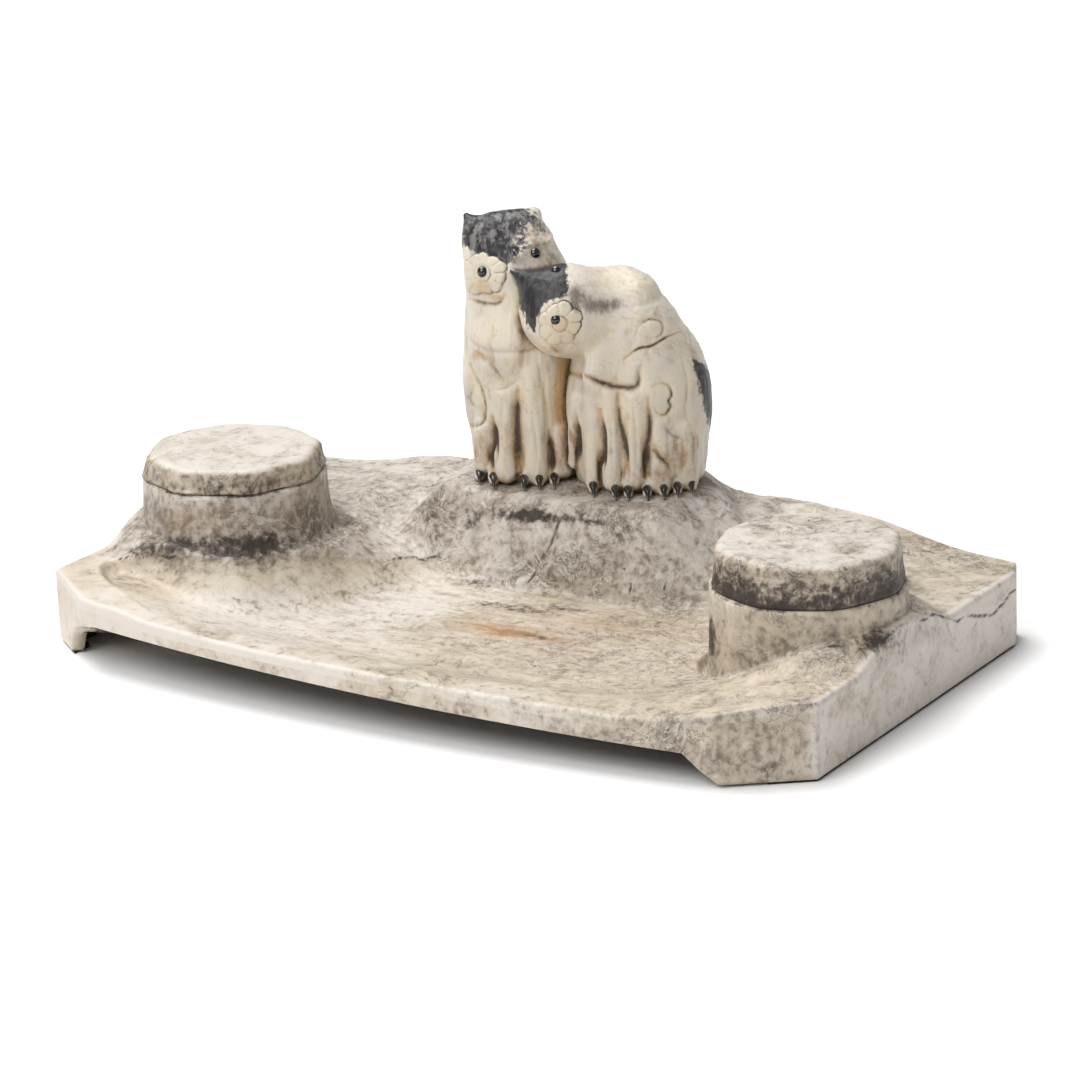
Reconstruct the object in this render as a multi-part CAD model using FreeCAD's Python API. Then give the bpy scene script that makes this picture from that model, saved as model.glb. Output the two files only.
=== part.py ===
import FreeCAD, Part
import math
import os

# Inkstand with a pair of owls: a moulded tray with two lidded ink wells.
# Millimetres, +Z up, front towards -Y, origin at the middle of the footprint on the desk.

# Tray plan
WIDTH = 340.0            # across the two ends
DEPTH = 217.0            # from the bowed front to the bowed back
FRONT_BOW = 10.0         # how far the front edge swells forward of its corners
BACK_BOW = 13.0
FRONT_CUT_X = 29.0       # cut front corners
FRONT_CUT_Y = 22.0
BACK_CUT_X = 6.0
BACK_CUT_Y = 13.0

# Underside
FELT_THICK = 1.0
FELT_INSET = 0.8
WALL = 9.0               # end and back walls
HOLLOW_HEIGHT = 8.5      # hollow under the tray, above the bottom of the walls
DISH_THICK = 5.5         # over the hollow
WELL_FLOOR_THICK = 4.5
ARCH_LEFT = 18.0         # height of the front arch above the desk at its two ends
ARCH_RIGHT = 11.5
LEFT_FOOT = 14.0         # length of the two front feet, from the ends of the tray
RIGHT_FOOT = 29.0
LEFT_ARCH_RUN = 23.0     # from the foot to where the arch has its full height
RIGHT_ARCH_RUN = 14.0
LEFT_ARCH_BULGE = 5.7    # of the curve between the two
RIGHT_ARCH_BULGE = -0.6

# Tray heights above the desk
RIM_HEIGHT = 30.0        # along the two ends
LIP_LEFT = 26.0          # the hand-finished front lip is higher at its left end
LIP_RIGHT = 21.5
LIP_RISE_START = 71.0    # from the tray's ends to where the lip starts to rise to the rim
LIP_RISE_END = 7.0
LEDGE_HEIGHT = 38.0      # back ledge beside the owls
LEDGE_FALL_START = 95.0  # from the tray's ends to where the ledge starts to fall to the rim
LEDGE_FALL_END = 20.0
SEAT_HEIGHT = 48.0       # flat bed that the owls stand on

# Pen dish
DISH_MIDDLE_Y = -35.0
DISH_END_EDGE = 13.0     # breadth of the rim around the dish: at the ends, front and back
DISH_FRONT_EDGE = 8.0
DISH_BACK_EDGE = 31.5
DISH_FLAT = 0.5          # part of the way out to the edge that stays level
DISH_POWER = 3.0         # squareness of the dish's outline

# Rock under the owls
ROCK_X = -12.0
ROCK_FROM_BACK = 36.5    # its middle, from the back of the tray
ROCK_FLAT_X = 45.5       # half size of its level part
ROCK_FLAT_Y = 34.0
ROCK_SLOPE_LEFT = 30.0   # breadth of its slopes
ROCK_SLOPE_RIGHT = 34.0
ROCK_SLOPE_Y = 19.0
ROCK_CORNER = 38.5       # from its middle to where its back right corner falls away
ROCK_CORNER_FALL = 17.0  # breadth of that fall
ROCK_CORNER_WAY = (0.6, 0.8)
ROCK_TRIM = 1.5          # rough height dressed off to make the flat bed

# Ink pots
POT_RADIUS = 27.0
POT_WALL = 3.0
POT_FLOOR = 4.0
POT_CLEARANCE = 0.5      # around the pot, and from its rim to the lid

# Wells
WELL_FROM_END = 40.0     # their middles, from the ends of the tray
WELL_Y = -9.0
LEFT_WELL_TOP = 57.0
RIGHT_WELL_TOP = 49.0
WELL_WALL = 9.3          # at the top
PEDESTAL_BATTER = 1.7    # how much wider the pedestal is where its side meets the foot
PEDESTAL_FLARE = 4.5     # of the foot
PEDESTAL_FOOT_HEIGHT = 14.0
SKIRT_HEIGHT = 10.0      # sweep of the rim up to the outer side of the pedestal
SKIRT_WIDTH = 17.0
SKIRT_START = 18.0       # from the well's middle towards the dish
SHELF_HEIGHT = 34.0      # rough shelf around the inner side of the left well
SHELF_BREADTH = 3.0
SHELF_FALL = 20.0        # breadth of the slope from the shelf into the dish
COVE_FRONT = (-112.0, -50.0, 33.0)    # ends of the dish's edge between the left well and the rock
COVE_BACK = (-50.0, 32.0, 19.0)
COVE_RISE = 0.25         # slope of the ground behind that edge
COVE_FALL = 0.8          # and in front of it
COVE_TOP = 35.0
COVE_LEFT = -100.0       # where it starts to die away behind the well
COVE_FADE = 30.0
COVE_LEAD = 0.15         # share of the edge's length in which it dies away before its front end

# Lids
LEFT_LID_HEIGHT = 10.0
RIGHT_LID_HEIGHT = 16.5
LID_SETBACK = 1.3        # from the edge of the well to the lid's flats
LID_TAPER = 2.0          # drawn in on each side at the top
LID_BEVEL = 2.0
LID_CORNER = 1.2         # eight corners rounded back by this much
SPIGOT_DEPTH = 4.0
SPIGOT_CLEARANCE = 0.5
LID_SIDES = 8

# Owls: each stands at a place on the rock, from the rock's middle, and is turned about it, in degrees
LEFT_FROM_ROCK = (-26.0, -6.0)
LEFT_TURN = 24.0
LEFT_HEAD = (-5.2, -4.3, 90.5)      # middle of the head from the stand
LEFT_HEAD_RADIUS = 18.5
LEFT_LEG_SPREAD = 11.0
LEFT_LEG_FORWARD = 13.0
LEFT_WING_OUT = 20.0
LEFT_WING_BACK = 3.0
LEFT_TAIL_BACK = 20.0
RIGHT_FROM_ROCK = (20.0, 4.0)
RIGHT_TURN = 28.0
RIGHT_HEAD = (-28.0, -14.0, 74.0)
RIGHT_HEAD_RADIUS = 17.5
RIGHT_LEG_SPREAD = 14.0
RIGHT_LEG_FORWARD = 17.0
RIGHT_WING_OUT = 22.5
RIGHT_WING_BACK = 4.0
RIGHT_TAIL_BACK = 22.0
# level sections of the trunks: height, forward shift, half width, half depth
LEFT_TRUNK = ((0.0, 0.0, 19.5, 18.5), (12.0, 0.0, 23.5, 22.0), (37.0, 0.0, 25.5, 24.0),
              (57.0, 2.0, 23.5, 22.5), (74.0, 4.5, 19.0, 19.0), (88.0, 6.0, 16.5, 16.5))
RIGHT_TRUNK = ((0.0, 0.0, 25.5, 23.0), (14.0, 0.0, 29.0, 26.0), (37.0, 0.0, 29.5, 27.0),
               (57.0, 0.0, 26.0, 25.0), (70.0, 2.0, 20.5, 21.5), (79.0, 4.0, 13.5, 15.0),
               (84.0, 5.0, 5.0, 6.0))
NECK_RADIUS = 18.8
NECK_DROP = 5.0
LEG_LENGTH = 24.0
LEG_HALF_WIDTH = 9.5
LEG_HALF_DEPTH = 7.5
TOE_WIDTH = 5.0
TOE_LENGTH = 10.0
TOE_HEIGHT = 4.0
TOE_PITCH = 5.4
WING_RADII = (6.5, 16.0, 30.0)
WING_MIDDLE = 36.0
TAIL_RADII = (11.0, 5.0, 24.0)
TAIL_MIDDLE = 20.0
FEATHER_TILT = -10.0     # lean of the wings and tails, in degrees
EAR_RADIUS = 6.0
EAR_TIP = 1.0
EAR_LENGTH = 10.0
EAR_LEAN = 18.0
EAR_OUT = 11.5           # from the middle of the head
EAR_BACK = 1.5
EAR_RISE = 8.5
EYE_RADIUS = 2.3
EYE_CLEARANCE = 0.05
# bearing from the front and rise above the level, in degrees
LEFT_EYES = (("left_owl_near_eye", 0.0, -8.0), ("left_owl_far_eye", 69.0, 12.0))
RIGHT_EYES = (("right_owl_upper_eye", 10.0, 72.0), ("right_owl_lower_eye", 23.0, 2.0))

# Points that the top of the tray is drawn through
TOP_COLUMNS = 47
TOP_ROWS = 31
TOP_MARGIN = 4.0         # drawn past the plan on every side, then trimmed

# Worked out from the sizes above
HALF_WIDTH = WIDTH / 2
HALF_DEPTH = DEPTH / 2
BASE_BOTTOM = FELT_THICK
HOLLOW_TOP = BASE_BOTTOM + HOLLOW_HEIGHT
FLOOR_HEIGHT = HOLLOW_TOP + DISH_THICK
WELL_FLOOR = HOLLOW_TOP + WELL_FLOOR_THICK
ROCK_Y = HALF_DEPTH - ROCK_FROM_BACK
LEFT_STAND = (ROCK_X + LEFT_FROM_ROCK[0], ROCK_Y + LEFT_FROM_ROCK[1])
RIGHT_STAND = (ROCK_X + RIGHT_FROM_ROCK[0], ROCK_Y + RIGHT_FROM_ROCK[1])
WELL_X = HALF_WIDTH - WELL_FROM_END
WELL_RADIUS = POT_RADIUS + POT_CLEARANCE
PEDESTAL_RADIUS = WELL_RADIUS + WELL_WALL
PEDESTAL_WAIST = PEDESTAL_RADIUS + PEDESTAL_BATTER
PEDESTAL_FOOT = PEDESTAL_WAIST + PEDESTAL_FLARE
LID_ACROSS = 2 * (PEDESTAL_RADIUS - LID_SETBACK)   # across the flats at the bottom
SKY = SEAT_HEIGHT + DEPTH   # above everything on the tray
# side, top of the well, height of its lid
WELLS = ((-1, LEFT_WELL_TOP, LEFT_LID_HEIGHT), (1, RIGHT_WELL_TOP, RIGHT_LID_HEIGHT))


def vec(x, y, z=0.0):
    return FreeCAD.Vector(x, y, z)


def ease(t):
    """Smooth step from 0 to 1."""
    t = min(max(t, 0.0), 1.0)
    return t * t * (3.0 - 2.0 * t)


def plan_face(inset, z):
    """Footprint of the tray, drawn in by inset on every side."""
    end = HALF_WIDTH - inset
    front = -(HALF_DEPTH - inset)
    back = HALF_DEPTH - inset
    front_corner = vec(HALF_WIDTH - FRONT_CUT_X - inset / 2, front + FRONT_BOW, z)
    back_corner = vec(HALF_WIDTH - BACK_CUT_X - inset / 2, back - BACK_BOW, z)
    end_front = vec(end, -(HALF_DEPTH - FRONT_BOW - FRONT_CUT_Y) + inset / 2, z)
    end_back = vec(end, HALF_DEPTH - BACK_BOW - BACK_CUT_Y - inset / 2, z)

    def mirrored(p):
        return vec(-p.x, p.y, p.z)

    edges = [
        Part.Arc(mirrored(front_corner), vec(0, front, z), front_corner).toShape(),
        Part.LineSegment(front_corner, end_front).toShape(),
        Part.LineSegment(end_front, end_back).toShape(),
        Part.LineSegment(end_back, back_corner).toShape(),
        Part.Arc(back_corner, vec(0, back, z), mirrored(back_corner)).toShape(),
        Part.LineSegment(mirrored(back_corner), mirrored(end_back)).toShape(),
        Part.LineSegment(mirrored(end_back), mirrored(end_front)).toShape(),
        Part.LineSegment(mirrored(end_front), mirrored(front_corner)).toShape(),
    ]
    return Part.Face(Part.Wire(edges))


def plan_prism(inset, low, high):
    return plan_face(inset, low).extrude(vec(0, 0, high - low))


def edge_height(x, y):
    """Height of the tray's edge: level ends, a lower front lip and a raised back ledge."""
    lean = (x / HALF_WIDTH + 1.0) / 2
    lip = LIP_LEFT + (LIP_RIGHT - LIP_LEFT) * lean
    from_end = HALF_WIDTH - abs(x)
    to_front = ease((DISH_MIDDLE_Y - y) / (HALF_DEPTH - FRONT_BOW + DISH_MIDDLE_Y))
    along_lip = ease((from_end - LIP_RISE_END) / (LIP_RISE_START - LIP_RISE_END))
    to_back = ease((y - DISH_MIDDLE_Y) / (HALF_DEPTH - BACK_BOW - DISH_MIDDLE_Y))
    along_ledge = ease((from_end - LEDGE_FALL_END) / (LEDGE_FALL_START - LEDGE_FALL_END))
    height = RIM_HEIGHT + (lip - RIM_HEIGHT) * to_front * along_lip
    return height + (LEDGE_HEIGHT - RIM_HEIGHT) * to_back * along_ledge


def cove_height(x, y):
    """Height of the ground between the left well and the rock, and its share there, from 0 to 1."""
    edge_x = COVE_BACK[0] - COVE_FRONT[0]
    edge_y = COVE_BACK[1] - COVE_FRONT[1]
    length = math.hypot(edge_x, edge_y)
    from_x = x - COVE_FRONT[0]
    from_y = y - COVE_FRONT[1]
    along = (from_x * edge_x + from_y * edge_y) / length ** 2
    behind = (from_y * edge_x - from_x * edge_y) / length
    height = COVE_FRONT[2] + (COVE_BACK[2] - COVE_FRONT[2]) * min(max(along, 0.0), 1.0)
    height += behind * (COVE_RISE if behind > 0 else COVE_FALL)
    share = ease((along + COVE_LEAD) / COVE_LEAD) * (1.0 - ease((COVE_LEFT - x) / COVE_FADE))
    return min(height, COVE_TOP), share


def top_height(x, y):
    """Height of the tray's top: dish, cove, rock, skirts of the wells and the left well's shelf."""
    reach = HALF_DEPTH - DISH_BACK_EDGE - DISH_MIDDLE_Y
    if y < DISH_MIDDLE_Y:
        reach = HALF_DEPTH - DISH_FRONT_EDGE + DISH_MIDDLE_Y
    across = abs(x) / (HALF_WIDTH - DISH_END_EDGE)
    along = abs(y - DISH_MIDDLE_Y) / reach
    out = (across ** DISH_POWER + along ** DISH_POWER) ** (1.0 / DISH_POWER)
    rise = ease((out - DISH_FLAT) / (1.0 - DISH_FLAT))
    height = FLOOR_HEIGHT + (edge_height(x, y) - FLOOR_HEIGHT) * rise
    cove, cove_share = cove_height(x, y)
    height += max(cove - height, 0.0) * cove_share
    slope_x = ROCK_SLOPE_LEFT if x < ROCK_X else ROCK_SLOPE_RIGHT
    rock_across = max(abs(x - ROCK_X) - ROCK_FLAT_X, 0.0) / slope_x
    rock_along = max(abs(y - ROCK_Y) - ROCK_FLAT_Y, 0.0) / ROCK_SLOPE_Y
    to_corner = (x - ROCK_X) * ROCK_CORNER_WAY[0] + (y - ROCK_Y) * ROCK_CORNER_WAY[1]
    past_corner = max(to_corner - ROCK_CORNER, 0.0) / ROCK_CORNER_FALL
    rock = 1.0 - ease(math.hypot(rock_across, rock_along) + past_corner)
    height += (SEAT_HEIGHT + ROCK_TRIM - height) * rock
    from_well = math.hypot(abs(x) - WELL_X, y - WELL_Y) - PEDESTAL_RADIUS
    outer_side = ease((abs(x) - WELL_X + SKIRT_START) / (SKIRT_START + PEDESTAL_RADIUS))
    if x < 0:
        shelf = (1.0 - ease((from_well - SHELF_BREADTH) / SHELF_FALL)) * (1.0 - outer_side)
        height += max(SHELF_HEIGHT - height, 0.0) * shelf
    return height + SKIRT_HEIGHT * (1.0 - ease(from_well / SKIRT_WIDTH)) * outer_side


def tray_top_block():
    """Solid under the modelled top of the tray, larger than its plan on all sides."""
    span_x = WIDTH + 2 * TOP_MARGIN
    span_y = DEPTH + 2 * TOP_MARGIN
    grid = []
    for i in range(TOP_COLUMNS):
        x = span_x * (i / (TOP_COLUMNS - 1) - 0.5)
        ys = [span_y * (j / (TOP_ROWS - 1) - 0.5) for j in range(TOP_ROWS)]
        grid.append([vec(x, y, top_height(x, y)) for y in ys])
    surface = Part.BSplineSurface()
    surface.interpolate(grid)
    return surface.toShape().extrude(vec(0, 0, -SKY))


def bowed(start, end, bulge):
    """Arc in an upright plane along X, whose middle stands off its chord by bulge, to the left of the way."""
    along = (end - start).normalize()
    return Part.Arc(start, (start + end) / 2 + vec(-along.z, 0, along.x) * bulge, end).toShape()


def arch_tool():
    """Cutter for the arch under the front lip, from the left foot to the right foot."""
    low = -FELT_THICK
    front = -HALF_DEPTH - FELT_THICK
    left_x = LEFT_FOOT - HALF_WIDTH
    right_x = HALF_WIDTH - RIGHT_FOOT
    left_foot = vec(left_x, front, BASE_BOTTOM)
    left_top = vec(left_x + LEFT_ARCH_RUN, front, ARCH_LEFT)
    right_foot = vec(right_x, front, BASE_BOTTOM)
    right_top = vec(right_x - RIGHT_ARCH_RUN, front, ARCH_RIGHT)
    edges = [
        Part.LineSegment(vec(left_x, front, low), left_foot).toShape(),
        bowed(left_foot, left_top, LEFT_ARCH_BULGE),
        Part.LineSegment(left_top, right_top).toShape(),
        bowed(right_top, right_foot, RIGHT_ARCH_BULGE),
        Part.LineSegment(right_foot, vec(right_x, front, low)).toShape(),
        Part.LineSegment(vec(right_x, front, low), vec(left_x, front, low)).toShape(),
    ]
    return Part.Face(Part.Wire(edges)).extrude(vec(0, FRONT_BOW + WALL + FELT_THICK, 0))


def pedestal(side, well_top):
    """Round pedestal of one well, with a spreading foot."""
    foot_top = FLOOR_HEIGHT + PEDESTAL_FOOT_HEIGHT
    foot_bend = vec((PEDESTAL_WAIST * 2 + PEDESTAL_FOOT) / 3, 0, FLOOR_HEIGHT + PEDESTAL_FOOT_HEIGHT / 3)
    foot_end = vec(PEDESTAL_FOOT, 0, FLOOR_HEIGHT)
    low = HOLLOW_TOP
    edges = [
        Part.LineSegment(vec(0, 0, well_top), vec(PEDESTAL_RADIUS, 0, well_top)).toShape(),
        Part.LineSegment(vec(PEDESTAL_RADIUS, 0, well_top), vec(PEDESTAL_WAIST, 0, foot_top)).toShape(),
        Part.Arc(vec(PEDESTAL_WAIST, 0, foot_top), foot_bend, foot_end).toShape(),
        Part.LineSegment(foot_end, vec(PEDESTAL_FOOT, 0, low)).toShape(),
        Part.LineSegment(vec(PEDESTAL_FOOT, 0, low), vec(0, 0, low)).toShape(),
        Part.LineSegment(vec(0, 0, low), vec(0, 0, well_top)).toShape(),
    ]
    turned = Part.Face(Part.Wire(edges)).revolve(vec(0, 0), vec(0, 0, 1), 360)
    turned.translate(vec(side * WELL_X, WELL_Y))
    return turned


def tray_base():
    """The moulded tray with its dish, wells, ledge, hollow underside and front arch."""
    base = tray_top_block()
    for side, well_top, _ in WELLS:
        base = base.fuse(pedestal(side, well_top))
    base = base.common(plan_prism(0.0, BASE_BOTTOM, SKY))
    base = base.cut(plan_prism(WALL, BASE_BOTTOM, HOLLOW_TOP))
    base = base.cut(arch_tool())
    for side, _, _ in WELLS:
        base = base.cut(Part.makeCylinder(WELL_RADIUS, SKY, vec(side * WELL_X, WELL_Y, WELL_FLOOR)))
    reach = ROCK_FLAT_X + ROCK_SLOPE_RIGHT
    above_bed = Part.makeBox(2 * reach, DEPTH, SKY, vec(ROCK_X - reach, WELL_Y + PEDESTAL_FOOT, SEAT_HEIGHT))
    return base.cut(above_bed)


def felt_strips():
    """Felt under the two ends and the back wall, cut from one ring."""
    ring = plan_prism(FELT_INSET, 0, FELT_THICK)
    ring = ring.cut(plan_prism(WALL - FELT_INSET, 0, FELT_THICK))
    ring = ring.cut(arch_tool())
    split = HALF_WIDTH - BACK_CUT_X - WALL
    tall = 4 * FELT_THICK
    end_box = Part.makeBox(WIDTH, 2 * DEPTH, tall, vec(split, -DEPTH, -FELT_THICK))
    other_end = Part.makeBox(WIDTH, 2 * DEPTH, tall, vec(-split - WIDTH, -DEPTH, -FELT_THICK))
    back_box = Part.makeBox(2 * split, DEPTH, tall, vec(-split, 0, -FELT_THICK))
    return {
        "left_felt": ring.common(other_end),
        "right_felt": ring.common(end_box),
        "back_felt": ring.common(back_box),
    }


def ink_pot(side, well_top):
    """Glass liner that stands on the floor of its well."""
    height = well_top - WELL_FLOOR - POT_CLEARANCE
    foot = vec(side * WELL_X, WELL_Y, WELL_FLOOR)
    pot = Part.makeCylinder(POT_RADIUS, height, foot)
    inside = Part.makeCylinder(POT_RADIUS - POT_WALL, height, foot + vec(0, 0, POT_FLOOR))
    return pot.cut(inside)


def lid_outline(across, z):
    """Eight-sided wire with a corner on the X axis."""
    radius = across / 2 / math.cos(math.pi / LID_SIDES)
    angles = [2 * math.pi * i / LID_SIDES for i in range(LID_SIDES)]
    corners = [vec(radius * math.cos(a), radius * math.sin(a), z) for a in angles]
    return Part.makePolygon(corners + corners[:1])


def lid(side, well_top, lid_height):
    """Eight-sided lid with softened corners, a bevelled top and a spigot for the pot's mouth."""
    top_across = LID_ACROSS - 2 * LID_TAPER
    shoulder = lid_height - LID_BEVEL
    lower = Part.makeLoft([lid_outline(LID_ACROSS, 0), lid_outline(top_across, shoulder)], True, True)
    upper_wires = [lid_outline(top_across, shoulder), lid_outline(top_across - 2 * LID_BEVEL, lid_height)]
    upper = Part.makeLoft(upper_wires, True, True)
    corner = LID_ACROSS / 2 / math.cos(math.pi / LID_SIDES) - LID_CORNER
    rounding = Part.makeCone(corner, corner - LID_TAPER, lid_height)
    body = lower.fuse(upper).common(rounding)
    spigot_radius = POT_RADIUS - POT_WALL - SPIGOT_CLEARANCE
    spigot = Part.makeCylinder(spigot_radius, SPIGOT_DEPTH + LID_BEVEL, vec(0, 0, -SPIGOT_DEPTH))
    body = body.fuse(spigot).removeSplitter()
    body.translate(vec(side * WELL_X, WELL_Y, well_top))
    return body


def ellipsoid(centre, radii, tilt=0.0):
    """Ellipsoid with its long axis leaned back by tilt degrees about X."""
    matrix = FreeCAD.Matrix()
    matrix.scale(*radii)
    shape = Part.makeSphere(1.0).transformGeometry(matrix)
    shape.rotate(vec(0, 0), vec(1, 0, 0), tilt)
    shape.translate(vec(*centre))
    return shape


def ball(centre, radius):
    """Sphere with its poles to the two sides."""
    shape = Part.makeSphere(radius)
    shape.rotate(vec(0, 0), vec(0, 1, 0), 90)
    shape.translate(vec(*centre))
    return shape


def trunk(sections):
    """Loft through level ellipses, each (height, forward shift, half width, half depth)."""
    wires = []
    for height, forward, half_width, half_depth in sections:
        ring = Part.Ellipse(vec(0, 0), max(half_width, half_depth), min(half_width, half_depth)).toShape()
        if half_depth > half_width:
            ring.rotate(vec(0, 0), vec(0, 0, 1), 90)
        ring.translate(vec(0, -forward, height))
        wires.append(Part.Wire(ring))
    return Part.makeLoft(wires, True, False)


def feet(spread, forward):
    """Two feathered legs with three toes each."""
    pieces = []
    for side in (-1, 1):
        leg = (side * spread, -forward, LEG_LENGTH / 2)
        pieces.append(ellipsoid(leg, (LEG_HALF_WIDTH, LEG_HALF_DEPTH, LEG_LENGTH)))
        for toe in (-1, 0, 1):
            place = (side * spread + toe * TOE_PITCH, -forward - LEG_HALF_DEPTH, TOE_HEIGHT / 2)
            pieces.append(ellipsoid(place, (TOE_WIDTH / 2, TOE_LENGTH / 2, TOE_HEIGHT)))
    return pieces


def ear(place, lean):
    """Short pointed ear tuft."""
    tuft = Part.makeCone(EAR_RADIUS, EAR_TIP, EAR_LENGTH)
    tuft.rotate(vec(0, 0), vec(0, 1, 0), lean)
    tuft.translate(vec(*place))
    return tuft


def set_in_place(pieces, stand, turn):
    """Join an owl's forms, turn it about its own axis, stand it on the seat and trim its feet level."""
    whole = pieces[0].multiFuse(pieces[1:])
    whole.rotate(vec(0, 0), vec(0, 0, 1), turn)
    whole.translate(vec(stand[0], stand[1], SEAT_HEIGHT))
    return whole.common(Part.makeBox(WIDTH, DEPTH, SKY, vec(-HALF_WIDTH, -HALF_DEPTH, SEAT_HEIGHT)))


def left_owl():
    """Upright owl with ear tufts, its head turned towards the right."""
    x, y, z = LEFT_HEAD
    pieces = [trunk(LEFT_TRUNK), ball(LEFT_HEAD, LEFT_HEAD_RADIUS)]
    pieces += feet(LEFT_LEG_SPREAD, LEFT_LEG_FORWARD)
    for side in (-1, 1):
        pieces.append(ear((x + side * EAR_OUT, y + side * EAR_BACK, z + EAR_RISE), side * EAR_LEAN))
        pieces.append(ellipsoid((side * LEFT_WING_OUT, LEFT_WING_BACK, WING_MIDDLE), WING_RADII, FEATHER_TILT))
    pieces.append(ellipsoid((0.0, LEFT_TAIL_BACK, TAIL_MIDDLE), TAIL_RADII, FEATHER_TILT))
    return set_in_place(pieces, LEFT_STAND, LEFT_TURN)


def right_owl():
    """Stooping owl that lays its head against the other one."""
    x, y, z = RIGHT_HEAD
    pieces = [trunk(RIGHT_TRUNK), ball(RIGHT_HEAD, RIGHT_HEAD_RADIUS)]
    pieces.append(ball((x / 2, y / 2, z - NECK_DROP), NECK_RADIUS))
    pieces += feet(RIGHT_LEG_SPREAD, RIGHT_LEG_FORWARD)
    pieces.append(ellipsoid((RIGHT_WING_OUT, RIGHT_WING_BACK, WING_MIDDLE), WING_RADII, FEATHER_TILT))
    pieces.append(ellipsoid((0.0, RIGHT_TAIL_BACK, TAIL_MIDDLE), TAIL_RADII, FEATHER_TILT))
    return set_in_place(pieces, RIGHT_STAND, RIGHT_TURN)


def eye_bead(stand, turn, head, radius, bearing, rise, size):
    """Glass bead whose middle is on the head, at a bearing from the front and a rise, in degrees."""
    a = math.radians(bearing)
    e = math.radians(rise)
    out = vec(math.sin(a) * math.cos(e), -math.cos(a) * math.cos(e), math.sin(e))
    centre = vec(*head)
    placing = FreeCAD.Rotation(vec(0, 0, 1), turn)
    world = placing.multVec(centre) + vec(stand[0], stand[1], SEAT_HEIGHT) + out * radius
    return Part.makeSphere(size, world)


def owl_pair():
    """Both owls, the left one cut to the right one where they press together, and their eyes."""
    left = left_owl()
    right = right_owl()
    left = left.cut(right)
    eyes = {}
    for name, bearing, rise in LEFT_EYES:
        place = (LEFT_STAND, LEFT_TURN, LEFT_HEAD, LEFT_HEAD_RADIUS, bearing, rise)
        eyes[name] = eye_bead(*place, EYE_RADIUS)
        left = left.cut(eye_bead(*place, EYE_RADIUS + EYE_CLEARANCE))
    for name, bearing, rise in RIGHT_EYES:
        place = (RIGHT_STAND, RIGHT_TURN, RIGHT_HEAD, RIGHT_HEAD_RADIUS, bearing, rise)
        eyes[name] = eye_bead(*place, EYE_RADIUS)
        socket = eye_bead(*place, EYE_RADIUS + EYE_CLEARANCE)
        right = right.cut(socket)
        left = left.cut(socket)
    return {"left_owl": left, "right_owl": right, **eyes}


def main():
    os.makedirs("parts", exist_ok=True)
    nodes = {"tray_base": tray_base()}
    nodes.update(felt_strips())
    nodes.update(owl_pair())
    for side, well_top, lid_height in WELLS:
        name = "left" if side < 0 else "right"
        nodes[name + "_ink_pot"] = ink_pot(side, well_top)
        nodes[name + "_lid"] = lid(side, well_top, lid_height)
    for name, shape in nodes.items():
        print(name, len(shape.Solids), shape.isValid(), round(shape.Volume, 1))
        shape.exportStep("parts/" + name + ".step")


main()
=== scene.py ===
from types import SimpleNamespace

import bpy
import numpy as np
from bpy.props import FloatProperty, FloatVectorProperty, PointerProperty
from bpy.types import Operator, Panel, PropertyGroup
from mathutils import Matrix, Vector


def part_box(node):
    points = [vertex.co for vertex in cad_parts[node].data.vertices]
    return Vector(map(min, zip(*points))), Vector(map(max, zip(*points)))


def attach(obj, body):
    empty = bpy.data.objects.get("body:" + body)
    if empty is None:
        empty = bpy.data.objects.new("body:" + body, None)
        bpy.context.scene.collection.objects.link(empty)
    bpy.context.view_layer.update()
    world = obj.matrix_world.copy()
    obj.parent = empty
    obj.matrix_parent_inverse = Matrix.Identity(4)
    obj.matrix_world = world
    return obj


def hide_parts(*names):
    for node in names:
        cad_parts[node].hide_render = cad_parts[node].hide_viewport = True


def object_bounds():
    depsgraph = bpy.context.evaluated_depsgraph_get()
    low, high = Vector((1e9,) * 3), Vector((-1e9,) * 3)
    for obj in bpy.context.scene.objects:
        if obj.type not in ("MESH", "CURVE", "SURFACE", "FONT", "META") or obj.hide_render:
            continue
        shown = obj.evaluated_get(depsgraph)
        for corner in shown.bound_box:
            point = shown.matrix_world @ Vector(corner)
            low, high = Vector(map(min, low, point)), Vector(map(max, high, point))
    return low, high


bl_info = {
    "name": "Owl Inkstand",
    "version": (1, 0, 0),
    "blender": (4, 5, 0),
    "location": "View3D > Sidebar > Inkstand",
    "description": "Marbled ceramic inkstand with two lidded wells and a pair of huddling owls",
    "category": "Object",
}

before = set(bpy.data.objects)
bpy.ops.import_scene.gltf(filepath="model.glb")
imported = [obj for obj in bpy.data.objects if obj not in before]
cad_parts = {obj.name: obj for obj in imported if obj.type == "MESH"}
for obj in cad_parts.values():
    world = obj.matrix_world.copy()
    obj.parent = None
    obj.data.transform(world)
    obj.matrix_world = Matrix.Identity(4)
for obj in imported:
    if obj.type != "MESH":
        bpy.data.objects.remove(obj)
CAD_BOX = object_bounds()

# Shapes are worked out in millimetres and put into the meshes in metres
MM = 0.001


def node_box(name):
    """Lowest and highest corner of a node, in millimetres."""
    low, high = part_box(name)
    return np.array(low) / MM, np.array(high) / MM


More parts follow.
